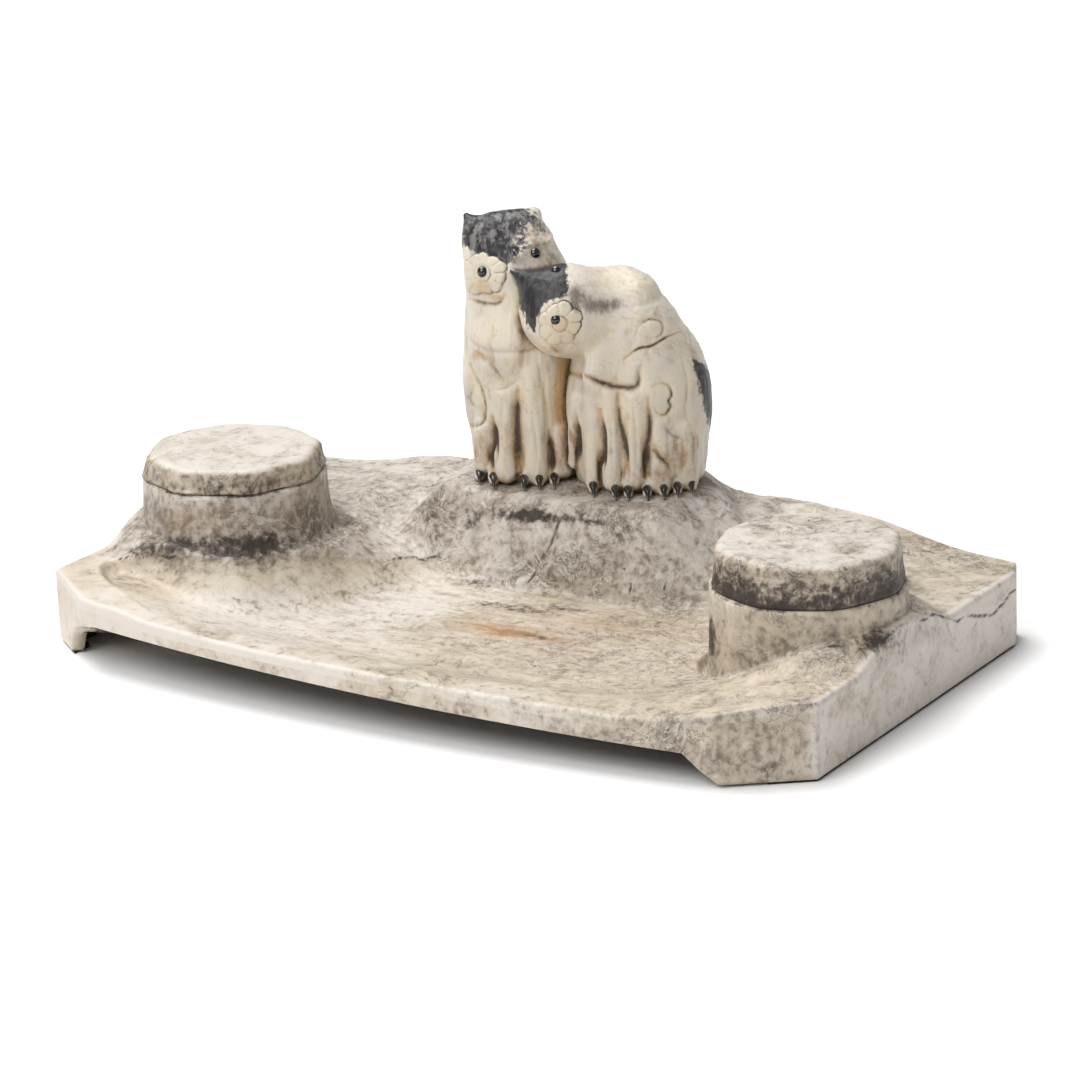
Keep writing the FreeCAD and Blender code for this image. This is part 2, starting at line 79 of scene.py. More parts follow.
BASE_LOW, BASE_HIGH = node_box("tray_base")
HALF_WIDTH = BASE_HIGH[0]
HALF_DEPTH = (BASE_HIGH[1] - BASE_LOW[1]) / 2
BASE_BOTTOM = BASE_LOW[2]
SIDES = {"left": -1, "right": 1}
POT_GAP = 0.5            # from the pot's rim to the top of its well
POT_BOXES = {side: node_box(side + "_ink_pot") for side in SIDES}
WELL_TOP = {side: box[1][2] + POT_GAP for side, box in POT_BOXES.items()}
WELL_FLOOR = POT_BOXES["left"][0][2]
WELL_X = (POT_BOXES["right"][0][0] + POT_BOXES["right"][1][0]) / 2
WELL_Y = (POT_BOXES["right"][0][1] + POT_BOXES["right"][1][1]) / 2
WELL_BORE = POT_BOXES["right"][1][0] - WELL_X + POT_GAP

# Tray plan
FRONT_BOW = 10.0
BACK_BOW = 13.0
FRONT_CUT = (29.0, 22.0)
BACK_CUT = (6.0, 13.0)
EDGE_ROUND = 1.6         # of the top edge
FOOT_ROUND = 0.7         # of the bottom edge
WALL = 9.0
ARCH_DEPTH = 19.0        # how far the arch runs in under the front lip
HOLLOW_TOP = BASE_BOTTOM + 8.5
# front arch: places along X and its height there
ARCH_X = (-156.0, -154.0, -149.0, -142.0, -133.0, 127.0, 134.0, 141.0)
ARCH_Z = (BASE_BOTTOM, 8.0, 13.5, 16.8, 18.0, 11.5, 5.6, BASE_BOTTOM)

# Tray heights, as in the solids
RIM_HEIGHT = 30.0
LIP_HEIGHTS = (26.0, 21.5)
LIP_RISE = (7.0, 71.0)
LEDGE_HEIGHT = 38.0
LEDGE_FALL = (20.0, 95.0)
FLOOR_HEIGHT = 15.0
SEAT_HEIGHT = 48.0
DISH_MIDDLE_Y = -35.0
DISH_EDGES = (13.0, 8.0, 31.5)     # at the ends, front and back
ROCK_MIDDLE = (-12.0, 72.0)
ROCK_FLAT = (45.5, 34.0)
ROCK_SLOPE_X = (30.0, 34.0)        # on the left and on the right
ROCK_SLOPE_Y = 19.0
ROCK_CORNER = 38.5                 # where the back right corner falls away
ROCK_CORNER_FALL = 17.0
ROCK_CORNER_WAY = (0.6, 0.8)
SKIRT_HEIGHT = 10.0
SKIRT_WIDTH = 17.0
SKIRT_START = 18.0
PEDESTAL_RADIUS = 36.8
SHELF_HEIGHT = 34.0
SHELF_BREADTH = 3.0
SHELF_FALL = 20.0
COVE_FRONT = (-112.0, -50.0, 33.0)
COVE_BACK = (-50.0, 32.0, 19.0)
COVE_RISE = 0.25
COVE_FALL = 0.8
COVE_TOP = 35.0
COVE_LEFT = -100.0
COVE_FADE = 30.0
COVE_LEAD = 0.15

# The view that the looks are matched to, in the row's frame
VIEW_PLACE = (850.1, -1315.95, 555.5)
VIEW_BEARING = 32.63
VIEW_FALL = 18.11
VIEW_ROLL = -2.166
VIEW_FOCUS = 4268.0      # focal length in pixels of a frame this wide
VIEW_FRAME = 1080.0
SENSOR = 36.0


def ease(t):
    """Smooth step from 0 to 1."""
    t = np.clip(t, 0.0, 1.0)
    return t * t * (3.0 - 2.0 * t)


def fade(t):
    """Smooth step from 1 down to 0."""
    return 1.0 - ease(t)


def rise(value, start, width):
    """Smooth step from 0 at the start to 1 a width further on."""
    return ease((value - start) / width)


def fall(value, start, width):
    """Smooth step from 1 at the start to 0 a width further on."""
    return fade((value - start) / width)


def mix(a, b, t):
    """Blend of a and b: a where t is 0 and b where it is 1."""
    return a + (b - a) * t


def join(a, b, fillet):
    """Union of two distance fields with a fillet between them."""
    share = np.clip(0.5 + 0.5 * (b - a) / fillet, 0.0, 1.0)
    return mix(b, a, share) - fillet * share * (1.0 - share)


def lattice(i, seed):
    """Repeatable value from -1 to 1 for each whole-number place."""
    n = i[..., 0] * 73856093 ^ i[..., 1] * 19349663 ^ i[..., 2] * 83492791 ^ (seed * 7919 + 17)
    n = (n ^ (n >> 13)) * 1274126177 & 0x7FFFFFFF
    n = (n ^ (n >> 15)) * 60493 & 0x7FFFFFFF
    return n / 0x3FFFFFFF - 1.0


def noise(points, size, seed):
    """Smooth noise: values at the corners of a grid of the given size, blended within its cells."""
    place = np.asarray(points) / size
    cell = np.floor(place).astype(np.int64)
    part = place - cell
    part = part * part * (3.0 - 2.0 * part)
    total = np.zeros(place.shape[:-1])
    for corner in np.ndindex(2, 2, 2):
        weight = np.prod(np.where(np.array(corner) == 1, part, 1.0 - part), axis=-1)
        total += weight * lattice(cell + np.array(corner), seed)
    return total


def fractal(points, size, octaves, seed):
    """Noise at the given size plus finer layers, each half the size and half the height."""
    return sum(noise(points, size / 2 ** k, seed + k) / 2 ** k for k in range(octaves))


def blob(points, centre, radii):
    """Soft round spot: 1 at its centre, falling to nothing past its radii."""
    reach = (np.asarray(points) - np.array(centre)) / np.array(radii)
    return np.exp(-np.sum(reach * reach, axis=-1))


def view_axes():
    """Right, up and towards-the-viewer directions of the view."""
    bearing, drop, roll = np.radians([VIEW_BEARING, VIEW_FALL, VIEW_ROLL])
    towards = np.array([np.sin(bearing) * np.cos(drop), -np.cos(bearing) * np.cos(drop), np.sin(drop)])
    right = np.array([np.cos(bearing), np.sin(bearing), 0.0])
    up = np.cross(towards, right)
    return np.cos(roll) * right + np.sin(roll) * up, np.cos(roll) * up - np.sin(roll) * right, towards


RIGHT, UP, TOWARDS = view_axes()


def add_mesh(name, points, faces, attributes=None):
    """New smooth object from points in millimetres, with its place in its mesh and one value per point for
    each attribute."""
    mesh = bpy.data.meshes.new(name)
    mesh.from_pydata((np.asarray(points) * MM).tolist(), [], faces)
    mesh.update()
    mesh.polygons.foreach_set("use_smooth", np.full(len(mesh.polygons), True))
    for key, values in (attributes or {}).items():
        layer = mesh.attributes.new(key, "FLOAT", "POINT")
        layer.data.foreach_set("value", np.asarray(values, np.float32))
    made = bpy.data.objects.new(name, mesh)
    bpy.context.scene.collection.objects.link(made)
    return made


def grid_faces(rows, columns, start=0, wrap=False):
    """Squares between neighbours of a grid of points, numbered row by row; wrap joins the last column to
    the first."""
    index = start + np.arange(rows * columns).reshape(rows, columns)
    if wrap:
        index = np.concatenate([index, index[:, :1]], axis=1)
    corners = [index[:-1, :-1], index[:-1, 1:], index[1:, 1:], index[1:, :-1]]
    return np.stack(corners, -1).reshape(-1, 4).tolist()


def dress(made, body, slot, material, *nodes):
    """Give a piece its material, let it ride on a body and stand for the nodes it shows."""
    made.data.materials.append(material)
    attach(made, body)
    if nodes:
        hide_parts(*nodes)
    return made


class Value:
    """A socket of a material's node tree; sums on it add Math nodes."""

    def __init__(self, paint, socket):
        self.paint = paint
        self.socket = socket

    def sum(self, operation, *parts):
        return self.paint.node("ShaderNodeMath", {"operation": operation}, dict(enumerate(parts)))

    def __add__(self, other):
        return self.sum("ADD", self, other)

    __radd__ = __add__

    def __sub__(self, other):
        return self.sum("SUBTRACT", self, other)

    def __rsub__(self, other):
        return self.sum("SUBTRACT", other, self)

    def __mul__(self, other):
        return self.sum("MULTIPLY", self, other)

    __rmul__ = __mul__

    def __abs__(self):
        return self.sum("ABSOLUTE", self)

    def most(self, other):
        return self.sum("MAXIMUM", self, other)

    def least(self, other):
        return self.sum("MINIMUM", self, other)

    def step(self, low, high):
        """0 below low, 1 above high and smooth between; low may be the larger."""
        settings = {"interpolation_type": "SMOOTHSTEP"}
        return self.paint.node("ShaderNodeMapRange", settings, {0: self, 1: low, 2: high})


class Paint:
    """Node tree of one material."""

    def __init__(self, name):
        self.material = bpy.data.materials.new(name)
        self.material.use_nodes = True
        self.tree = self.material.node_tree
        self.tree.nodes.clear()
        self.place = self.node("ShaderNodeTexCoord", out="Object")

    def node(self, kind, settings=None, sockets=None, out=0):
        """New node of a kind: its settings first, then the values or links of its sockets."""
        made = self.tree.nodes.new(kind)
        for key, value in (settings or {}).items():
            setattr(made, key, value)
        for key, value in (sockets or {}).items():
            if isinstance(value, Value):
                self.tree.links.new(value.socket, made.inputs[key])
            else:
                made.inputs[key].default_value = value
        return Value(self, made.outputs[out]) if len(made.outputs) else None

    def attribute(self, name):
        return self.node("ShaderNodeAttribute", {"attribute_name": name}, out="Fac")

    def stretched(self, scale, turn=(0.0, 0.0, 0.0)):
        """Object coordinates in millimetres, turned and stretched."""
        factor = tuple(s / MM for s in scale)
        return self.node("ShaderNodeMapping", None, {"Vector": self.place, "Rotation": turn,
                                                     "Scale": factor})

    def noise(self, vector, scale, detail=4.0, roughness=0.55, distortion=0.0):
        sockets = {"Vector": vector, "Scale": scale, "Detail": detail, "Roughness": roughness,
                   "Distortion": distortion}
        return self.node("ShaderNodeTexNoise", None, sockets)

    def warped(self, vector, scale, amount):
        """A vector pushed about by noise."""
        sockets = {"Vector": vector, "Scale": scale, "Detail": 3.0}
        push = self.node("ShaderNodeTexNoise", None, sockets, out="Color")
        middle = (0.5, 0.5, 0.5)
        centred = self.node("ShaderNodeVectorMath", {"operation": "SUBTRACT"}, {0: push, 1: middle})
        scaled = self.node("ShaderNodeVectorMath", {"operation": "SCALE"}, {0: centred, "Scale": amount})
        return self.node("ShaderNodeVectorMath", {"operation": "ADD"}, {0: vector, 1: scaled})

    def blend(self, a, b, amount):
        """Mix of two colours."""
        a, b = (c if isinstance(c, Value) else (*c, 1.0) for c in (a, b))
        settings = {"data_type": "RGBA", "clamp_factor": True}
        return self.node("ShaderNodeMix", settings, {0: amount, 6: a, 7: b}, out=2)

    def bump(self, height, depth):
        """Bump from a height of 0 to 1 that stands for a depth in millimetres."""
        return self.node("ShaderNodeBump", None, {"Height": height, "Distance": depth * MM,
                                                  "Strength": 1.0})

    def finish(self, sockets):
        """Close the tree with a Principled shader; returns the material."""
        shader = self.node("ShaderNodeBsdfPrincipled", None, sockets)
        self.node("ShaderNodeOutputMaterial", None, {"Surface": shader})
        return self.material


class TraySettings(PropertyGroup):
    """Looks of the tray and the lids."""

    cream: FloatVectorProperty(name="Cream", description="Body of the marbled ceramic", subtype="COLOR",
                               default=(0.60, 0.51, 0.385))
    # pale also gives the painted highlight on the worn top edges
    pale: FloatVectorProperty(name="Pale", description="Rubbed tops and edges", subtype="COLOR",
                              default=(0.67, 0.615, 0.55))
    # grey also darkens where shade is painted, on the rock's top under the owls and in the dish's tip
    grey: FloatVectorProperty(name="Grey", description="Clouds and broad veins", subtype="COLOR",
                              default=(0.29, 0.245, 0.195))
    # dark is also painted shade in the recesses, crevices and under the tray, and in the owls' grooves
    dark: FloatVectorProperty(name="Dark", description="Stain in cracks and recesses", subtype="COLOR",
                              default=(0.025, 0.019, 0.017))
    # umber is also painted shade in the tray's recesses, in the owls' grooves and recesses and along their
    # feet
    umber: FloatVectorProperty(name="Umber", description="Fine speckle", subtype="COLOR",
                               default=(0.12, 0.088, 0.062))
    rust: FloatVectorProperty(name="Rust", description="Brown stains", subtype="COLOR",
                              default=(0.36, 0.20, 0.09))
    relief: FloatProperty(name="Relief", description="Height of the rock's rough surface", default=1.3 * MM,
                          min=0.0, max=4 * MM, unit="LENGTH")
    wobble: FloatProperty(name="Wobble", description="Unevenness of the hand-finished surfaces",
                          default=0.45 * MM, min=0.0, max=2 * MM, unit="LENGTH")


class OwlSettings(PropertyGroup):
    """Looks of the owls."""

    ivory: FloatVectorProperty(name="Ivory", description="Feathers", subtype="COLOR",
                               default=(0.74, 0.665, 0.535))
    # ochre is also painted shade in the recesses and beside the grooves
    ochre: FloatVectorProperty(name="Ochre", description="Stain between the feathers", subtype="COLOR",
                               default=(0.50, 0.31, 0.13))
    crown: FloatVectorProperty(name="Crown", description="Charcoal of the crowns", subtype="COLOR",
                               default=(0.018, 0.016, 0.018))
    disc: FloatVectorProperty(name="Disc", description="Yellowish discs around the eyes", subtype="COLOR",
                              default=(0.64, 0.57, 0.42))
    ash: FloatVectorProperty(name="Ash", description="Lighter streaks of the crowns", subtype="COLOR",
                             default=(0.30, 0.285, 0.275))
    relief: FloatProperty(name="Relief", description="Share of the modelled grooves and feathers",
                          default=1.0, min=0.0, max=2.0, subtype="FACTOR")


class StageSettings(PropertyGroup):
    """Floor, light and view."""

    floor: FloatVectorProperty(name="Floor", description="Colour of the table", subtype="COLOR",
                               default=(0.96, 0.96, 0.965))
    key_strength: FloatProperty(name="Key light", description="Strength of the wide overhead light",
                                default=2.55, min=0.0, subtype="UNSIGNED")
    key_spread: FloatProperty(name="Key spread",
                              description="Width of the overhead light, seen from the table",
                              default=0.7, min=0.0, max=3.0, subtype="ANGLE", unit="ROTATION")
    fill_power: FloatProperty(name="Fill light", description="Power of the front light", default=11.0,
                              min=0.0, subtype="POWER")
    sky: FloatProperty(name="Sky", description="Strength of the even light", default=0.30, min=0.0,
                       subtype="UNSIGNED")


def outline_knots(inset):
    """Places along X where the plan's outline turns, drawn in by inset."""
    front = HALF_WIDTH - FRONT_CUT[0] - inset / 2
    back = HALF_WIDTH - BACK_CUT[0] - inset / 2
    return np.array([-(HALF_WIDTH - inset), -back, -front, front, back, HALF_WIDTH - inset])


def bowed_edge(x, corner, corner_y, bow, cut_y, end):
    """Distance of a bowed edge from the X axis: an arc between the corners, then a straight cut to the
    end."""
    radius = (corner ** 2 + bow ** 2) / (2 * bow)
    arc = corner_y + bow - radius + np.sqrt(radius ** 2 - np.minimum(np.abs(x), corner) ** 2)
    return arc - cut_y * np.clip((np.abs(x) - corner) / (end - corner), 0.0, 1.0)


def front_edge(x, inset):
    """Y of the front edge drawn in by inset."""
    knots = outline_knots(inset)
    return -bowed_edge(x, knots[3], HALF_DEPTH - FRONT_BOW - inset, FRONT_BOW, FRONT_CUT[1] - 1.5 * inset,
                       knots[5])


def back_edge(x, inset):
    """Y of the back edge drawn in by inset."""
    knots = outline_knots(inset)
    return bowed_edge(x, knots[4], HALF_DEPTH - BACK_BOW - inset, BACK_BOW, BACK_CUT[1] - inset / 2,
                      knots[5])


def edge_height(x, y):
    """Height of the tray's edge: level ends, a lower front lip and a raised back ledge."""
    lip = mix(LIP_HEIGHTS[0], LIP_HEIGHTS[1], (x / HALF_WIDTH + 1.0) / 2)
    from_end = HALF_WIDTH - np.abs(x)
    to_front = ease((DISH_MIDDLE_Y - y) / (HALF_DEPTH - FRONT_BOW + DISH_MIDDLE_Y))
    along_lip = ease((from_end - LIP_RISE[0]) / (LIP_RISE[1] - LIP_RISE[0]))
    to_back = ease((y - DISH_MIDDLE_Y) / (HALF_DEPTH - BACK_BOW - DISH_MIDDLE_Y))
    along_ledge = ease((from_end - LEDGE_FALL[0]) / (LEDGE_FALL[1] - LEDGE_FALL[0]))
    height = RIM_HEIGHT + (lip - RIM_HEIGHT) * to_front * along_lip
    return height + (LEDGE_HEIGHT - RIM_HEIGHT) * to_back * along_ledge


def rock_share(x, y):
    """1 on the rock's level top, falling to 0 at the foot of its slopes."""
    from_x = x - ROCK_MIDDLE[0]
    from_y = y - ROCK_MIDDLE[1]
    across = np.maximum(np.abs(from_x) - ROCK_FLAT[0], 0.0) / np.where(from_x < 0, *ROCK_SLOPE_X)
    along = np.maximum(np.abs(from_y) - ROCK_FLAT[1], 0.0) / ROCK_SLOPE_Y
    to_corner = from_x * ROCK_CORNER_WAY[0] + from_y * ROCK_CORNER_WAY[1]
    return fade(np.hypot(across, along) + np.maximum(to_corner - ROCK_CORNER, 0.0) / ROCK_CORNER_FALL)


def cove(x, y):
    """Height of the ground between the left well and the rock, and its share there, from 0 to 1."""
    edge = np.subtract(COVE_BACK[:2], COVE_FRONT[:2])
    length = np.hypot(*edge)
    from_x = x - COVE_FRONT[0]
    from_y = y - COVE_FRONT[1]
    along = (from_x * edge[0] + from_y * edge[1]) / length ** 2
    behind = (from_y * edge[0] - from_x * edge[1]) / length
    height = mix(COVE_FRONT[2], COVE_BACK[2], np.clip(along, 0.0, 1.0))
    height = height + behind * np.where(behind > 0, COVE_RISE, COVE_FALL)
    share = ease((along + COVE_LEAD) / COVE_LEAD) * fade((COVE_LEFT - x) / COVE_FADE)
    return np.minimum(height, COVE_TOP), share


# Edge of the dish, from the front of its left tip around the left well to the rock: places and heights.
# The rim and the rough ground lie to the left of this way.
DISH_EDGE = ((-128, -86, 28), (-140, -81, 29.2), (-150, -74, 29.8), (-156, -67, 30), (-157.5, -61, 30),
             (-154, -57, 30.2), (-147, -55, 31.2), (-135, -52.5, 33.4), (-114, -48.5, 34),
             (-104, -44, 33.6), (-97.5, -36.5, 33.2), (-87.5, -27, 31), (-79, -12, 27.2), (-71, 4, 23.6),
             (-64.5, 14.5, 22.2), (-55, 22, 21.3), (-42, 24.5, 20), (-24, 19, 15.5))
DISH_FLAT = 0.5          # share of the dish that is level
EDGE_SOFTNESS = 0.8      # half the breadth of the edge itself
DISH_STEP = 0.9          # height of the step at that edge
DISH_STEP_FADE = 12.0    # how far the step takes to die away
DISH_STRETCH = 18.0      # the dish's shape runs on this far past its left end
BANK_REACH = 34.0        # how far the bank below that edge runs into the dish
BANK_SINK = 4.0          # how far below the floor it is aimed
BANK_ROUND = 3.0         # softness of its meeting with the floor
BANK_BACK = (6.0, 18.0)  # level ground behind the edge, and how far it takes to die away
TIP_DROP = 1.8           # step down from the rim at the dish's left tip
TIP_REACH = 4.0
TIP_END = (-152.0, 20.0)  # where the tip's step starts to die away, and how far it takes
# Crevice between the dish and the right well
CREVICE_OUT = 2.6        # its middle, from the pedestal
CREVICE_HALF = 3.0
CREVICE_DEPTH = 4.0
CREVICE_SIDE = WELL_X - 14.0
CREVICE_FADE = 10.0
# Where the ground behind the edge, the step, the rough relief and the rock's level top start, and how far
# each takes to come in or die away
CREVICE_FRONT = (-60.0, 20.0)
GROUND_FRONT = (-60.0, 6.0)
GROUND_LEFT = (150.0, 8.0)
STEP_RISE = (-1.0, 2.0)
STEP_END = (-50.0, 15.0)
ROUGH_FRONT = (-5.0, 40.0)
ROUGH_SIDES = (70.0, 45.0)
ROUGH_EDGE = (-4.0, 6.0)
ROUGH_NEAR = (0.0, 3.0)
ROUGH_FAR = (16.0, 20.0)
LEVEL_TOP = (0.93, 0.06)
LEVEL_SMOOTH = 0.75      # how much of the relief the level top loses
ROUGH_GRAIN = 13.0
STRATA_STRETCH = (0.35, 0.6, 1.6)
STRATA_GRAIN = 9.0
STRATA_WIDTH = 0.14
WOBBLE_GRAIN = 34.0
RELIEF_SQUASH = 0.6      # of heights, in the noise


def beside(x, y, line):
    """Signed distance from a line of straight pieces, positive to the left of its way, and the place along
    it."""
    ends = np.array(line)[:, :2]
    way = np.diff(ends, axis=0)
    from_start = np.stack([x, y], -1)[..., None, :] - ends[:-1]
    part = np.clip((from_start * way).sum(-1) / (way * way).sum(-1), 0.0, 1.0)
    gap = np.linalg.norm(from_start - part[..., None] * way, axis=-1)
    side = np.sign(way[:, 0] * from_start[..., 1] - way[:, 1] * from_start[..., 0])
    nearest = gap.argmin(-1)[..., None]
    distance = np.take_along_axis(gap * side, nearest, -1)[..., 0]
    return distance, np.take_along_axis(part + np.arange(len(way)), nearest, -1)[..., 0]


def dish_height(x, y, edge, stretch):
    """Height of a squarish dish that rises to the edge; stretch draws out its left end."""
    reach = np.where(y < DISH_MIDDLE_Y, HALF_DEPTH - DISH_EDGES[1] + DISH_MIDDLE_Y,
                     HALF_DEPTH - DISH_EDGES[2] - DISH_MIDDLE_Y)
    across = np.abs(x) / (HALF_WIDTH - DISH_EDGES[0] + np.where(x < 0, stretch, 0.0))
    out = np.cbrt(across ** 3 + (np.abs(y - DISH_MIDDLE_Y) / reach) ** 3)
    return mix(FLOOR_HEIGHT, edge, rise(out, DISH_FLAT, 1.0 - DISH_FLAT))


def dish_bank(x, y, edge, behind, bank):
    """Height inside the dish: its floor and the bowed bank below its edge, with a step at its left tip."""
    drop = np.clip(1.0 + behind / BANK_REACH, 0.0, 1.0) ** 2
    bank = mix(FLOOR_HEIGHT - BANK_SINK, bank, drop)
    height = -join(-dish_height(x, y, edge, DISH_STRETCH), -bank, BANK_ROUND)
    return height - TIP_DROP * ease(-behind / TIP_REACH) * fade((x - TIP_END[0]) / TIP_END[1])


def tray_top(x, y, relief, wobble):
    """Height of the tray's top: the dish, and behind its edge the cove, the shelf and the skirts of the
    wells, with the rock under the owls and rough relief."""
    edge = edge_height(x, y)
    behind, along = beside(x, y, DISH_EDGE)
    bank = np.interp(along, np.arange(len(DISH_EDGE)), np.array(DISH_EDGE)[:, 2])
    height = dish_height(x, y, edge, 0.0)
    ground, share = cove(x, y)
    height += np.maximum(ground - height, 0.0) * share
    height += np.maximum(bank - height, 0.0) * fall(behind, *BANK_BACK)
    in_dish = fall(behind, -EDGE_SOFTNESS, 2 * EDGE_SOFTNESS)
    height = mix(height, dish_bank(x, y, edge, behind, bank), in_dish)
    rock = rock_share(x, y)
    height += (SEAT_HEIGHT - height) * rock
    from_well = np.hypot(np.abs(x) - WELL_X, y - WELL_Y) - PEDESTAL_RADIUS
    outer = rise(np.abs(x) - WELL_X, -SKIRT_START, SKIRT_START + PEDESTAL_RADIUS)
    behind_left = np.where(x < 0, 1.0 - in_dish, 1.0)
    shelf = fall(from_well, SHELF_BREADTH, SHELF_FALL) * (1.0 - outer) * (x < 0)
    height += np.maximum(SHELF_HEIGHT - height, 0.0) * shelf * behind_left
    height += SKIRT_HEIGHT * fade(from_well / SKIRT_WIDTH) * outer * behind_left
    crevice = fade(np.abs(from_well - CREVICE_OUT) / CREVICE_HALF) * (x > 0)
    crevice = crevice * ease((CREVICE_SIDE - x) / CREVICE_FADE) * rise(y, *CREVICE_FRONT)
    height -= CREVICE_DEPTH * crevice
    points = np.stack([x, y, RELIEF_SQUASH * height], -1)
    at_ground = rise(y, *GROUND_FRONT) * fall(-x, *GROUND_LEFT)
    step = rise(behind, *STEP_RISE) * fall(behind, 1.0, DISH_STEP_FADE)
    height += DISH_STEP * step * at_ground * fall(x, *STEP_END)
    rough = rise(y, *ROUGH_FRONT) * fall(np.abs(x - ROCK_MIDDLE[0]), *ROUGH_SIDES)
    rough = rough * rise(behind, *ROUGH_EDGE)
    rough = np.maximum(rough, rise(behind, *ROUGH_NEAR) * fall(behind, *ROUGH_FAR) * at_ground)
    level_top = rise(rock, *LEVEL_TOP)
    height += relief * rough * (1.0 - LEVEL_SMOOTH * level_top) * fractal(points, ROUGH_GRAIN, 4, 3)
    strata = np.abs(fractal(points * np.array(STRATA_STRETCH), STRATA_GRAIN, 3, 21))
    height -= relief * rough * (1.0 - level_top) * fade(strata / STRATA_WIDTH)
    return height + wobble * fractal(points, WOBBLE_GRAIN, 2, 9)


# Grid of the tray's top: a block of rings around each well, and strips of squares between and around them
BLOCK_RINGS = 52
BLOCK_INNER = 84.0       # inner edge of the blocks, along X
BLOCK_SHARE = (0.215, 0.70)   # where the blocks start and end, as shares of the depth
MIDDLE_COLUMNS = 122
FRONT_ROWS = 38
BACK_ROWS = 56
WALL_LEVELS = 22
# rings of a block, from the middle of the well: its floor, bore, top, rounded edge and side; the rest run
# outwards
RING_FLOOR = 3
RING_BORE = 8
RING_TOP = 12
RING_EDGE = 15
RING_SIDE = 28
FOOT_SPREAD = {"left": (1.5, 3.6), "right": (0.7, 1.6)}    # of a pedestal, outwards and towards the dish
FOOT_INWARD = (-0.55, 0.9)
PEDESTAL_LEAST = 5.0     # least height of a pedestal
BORE_BEVEL = 0.6
TOP_BEVEL = (1.0, 1.1)   # of a pedestal's top edge, across and down
FLARE = 2.2              # how late a pedestal's side spreads
FLARE_SPACING = 1.35     # how much closer its rings are towards the foot


def block_rings():
    """Ring number and angle of each point of a block: squares around the middle, stretched to even
    angles."""
    steps = np.arange(-BLOCK_RINGS, BLOCK_RINGS + 1)
    q, p = np.meshgrid(steps, steps, indexing="ij")
    ring = np.maximum(np.abs(p), np.abs(q))
    safe = np.maximum(ring, 1)
    wide = np.abs(p) >= np.abs(q)
    angle = np.where(wide, np.where(p > 0, 0.0, np.pi) + np.pi / 4 * q / safe * np.sign(p + 0.1),
                     np.where(q > 0, np.pi / 2, -np.pi / 2) - np.pi / 4 * p / safe * np.sign(q))
    return ring, np.angle(np.exp(1j * angle))


def along_outline(angle, outline_x, outline_y, outline_angle):
    """Point of a block's square outline at each angle."""
    order = np.argsort(outline_angle)
    return (np.interp(angle, outline_angle[order], outline_x[order], period=2 * np.pi),
            np.interp(angle, outline_angle[order], outline_y[order], period=2 * np.pi))


def well_block(x, y, side, ground):
    """Draws a block of the grid into a well and its pedestal: returns the points' X, Y and height. Rings
    are circles from the middle of the bore to the foot of the pedestal, and then turn into the outline."""
    sign = SIDES[side]
    top = WELL_TOP[side]
    middle_x = sign * WELL_X
    ring, angle = block_rings()
    rim = ring == BLOCK_RINGS
    edge_x, edge_y = along_outline(angle, x[rim], y[rim], angle[rim])
    inward = fall(np.cos(angle) * sign, *FOOT_INWARD)
    foot = PEDESTAL_RADIUS + mix(*FOOT_SPREAD[side], inward)
    foot_height = ground(middle_x + foot * np.cos(angle), WELL_Y + foot * np.sin(angle))
    foot_height = np.minimum(foot_height, top - PEDESTAL_LEAST)
    down = np.clip((ring - RING_EDGE) / (RING_SIDE - RING_EDGE), 0.0, 1.0)
    stops = (0, RING_FLOOR, RING_BORE, RING_BORE + 1, RING_TOP, RING_EDGE)
    edge_top = top - TOP_BEVEL[1]
    radius = np.interp(ring, stops, (0.0, WELL_BORE, WELL_BORE, WELL_BORE + BORE_BEVEL,
                                     PEDESTAL_RADIUS - TOP_BEVEL[0], PEDESTAL_RADIUS))
    height = np.interp(ring, stops, (WELL_FLOOR, WELL_FLOOR, top - BORE_BEVEL, top, top, edge_top))
    on_side = ring > RING_EDGE
    radius = np.where(on_side, mix(PEDESTAL_RADIUS, foot, down ** FLARE), radius)
    height = np.where(on_side, mix(edge_top, foot_height, 1.0 - (1.0 - down) ** FLARE_SPACING), height)
    outward = np.clip((ring - RING_SIDE) / (BLOCK_RINGS - RING_SIDE), 0.0, 1.0)
    new_x = mix(middle_x + radius * np.cos(angle), edge_x, outward)
    new_y = mix(WELL_Y + radius * np.sin(angle), edge_y, outward)
    height = np.where(ring > RING_SIDE, ground(new_x, new_y), height)
    return new_x, new_y, height


def tray_columns():
    """Places of the grid's columns along X at the inset of the rounded edge, with one on each turn of the
    plan."""
    end = HALF_WIDTH - EDGE_ROUND
    outer = np.linspace(-end, -BLOCK_INNER, 2 * BLOCK_RINGS + 1)
    middle = np.linspace(-BLOCK_INNER, BLOCK_INNER, MIDDLE_COLUMNS + 1)
    columns = np.concatenate([outer, middle[1:-1], -outer[::-1]])
    for knot in outline_knots(EDGE_ROUND)[1:-1]:
        columns[np.argmin(np.abs(columns - knot))] = knot
    return columns


def tray_rows():
    """Shares of the depth for the grid's rows."""
    low, high = BLOCK_SHARE
    return np.concatenate([np.linspace(0.0, low, FRONT_ROWS + 1),
                           np.linspace(low, high, 2 * BLOCK_RINGS + 1)[1:],
                           np.linspace(high, 1.0, BACK_ROWS + 1)[1:]])


def tray_loop(columns, rows, inset):
    """Outline of the plan drawn in by inset, once around from the front left corner, with the grid's own
    spacing."""
    x = np.interp(columns, outline_knots(EDGE_ROUND), outline_knots(inset))
    front = np.stack([x, front_edge(x, inset)], -1)
    back = np.stack([x, back_edge(x, inset)], -1)
    right = mix(front[-1], back[-1], rows[1:-1, None])
    left = mix(front[0], back[0], rows[1:-1, None])
    return np.concatenate([front, right, back[::-1], left[::-1]])


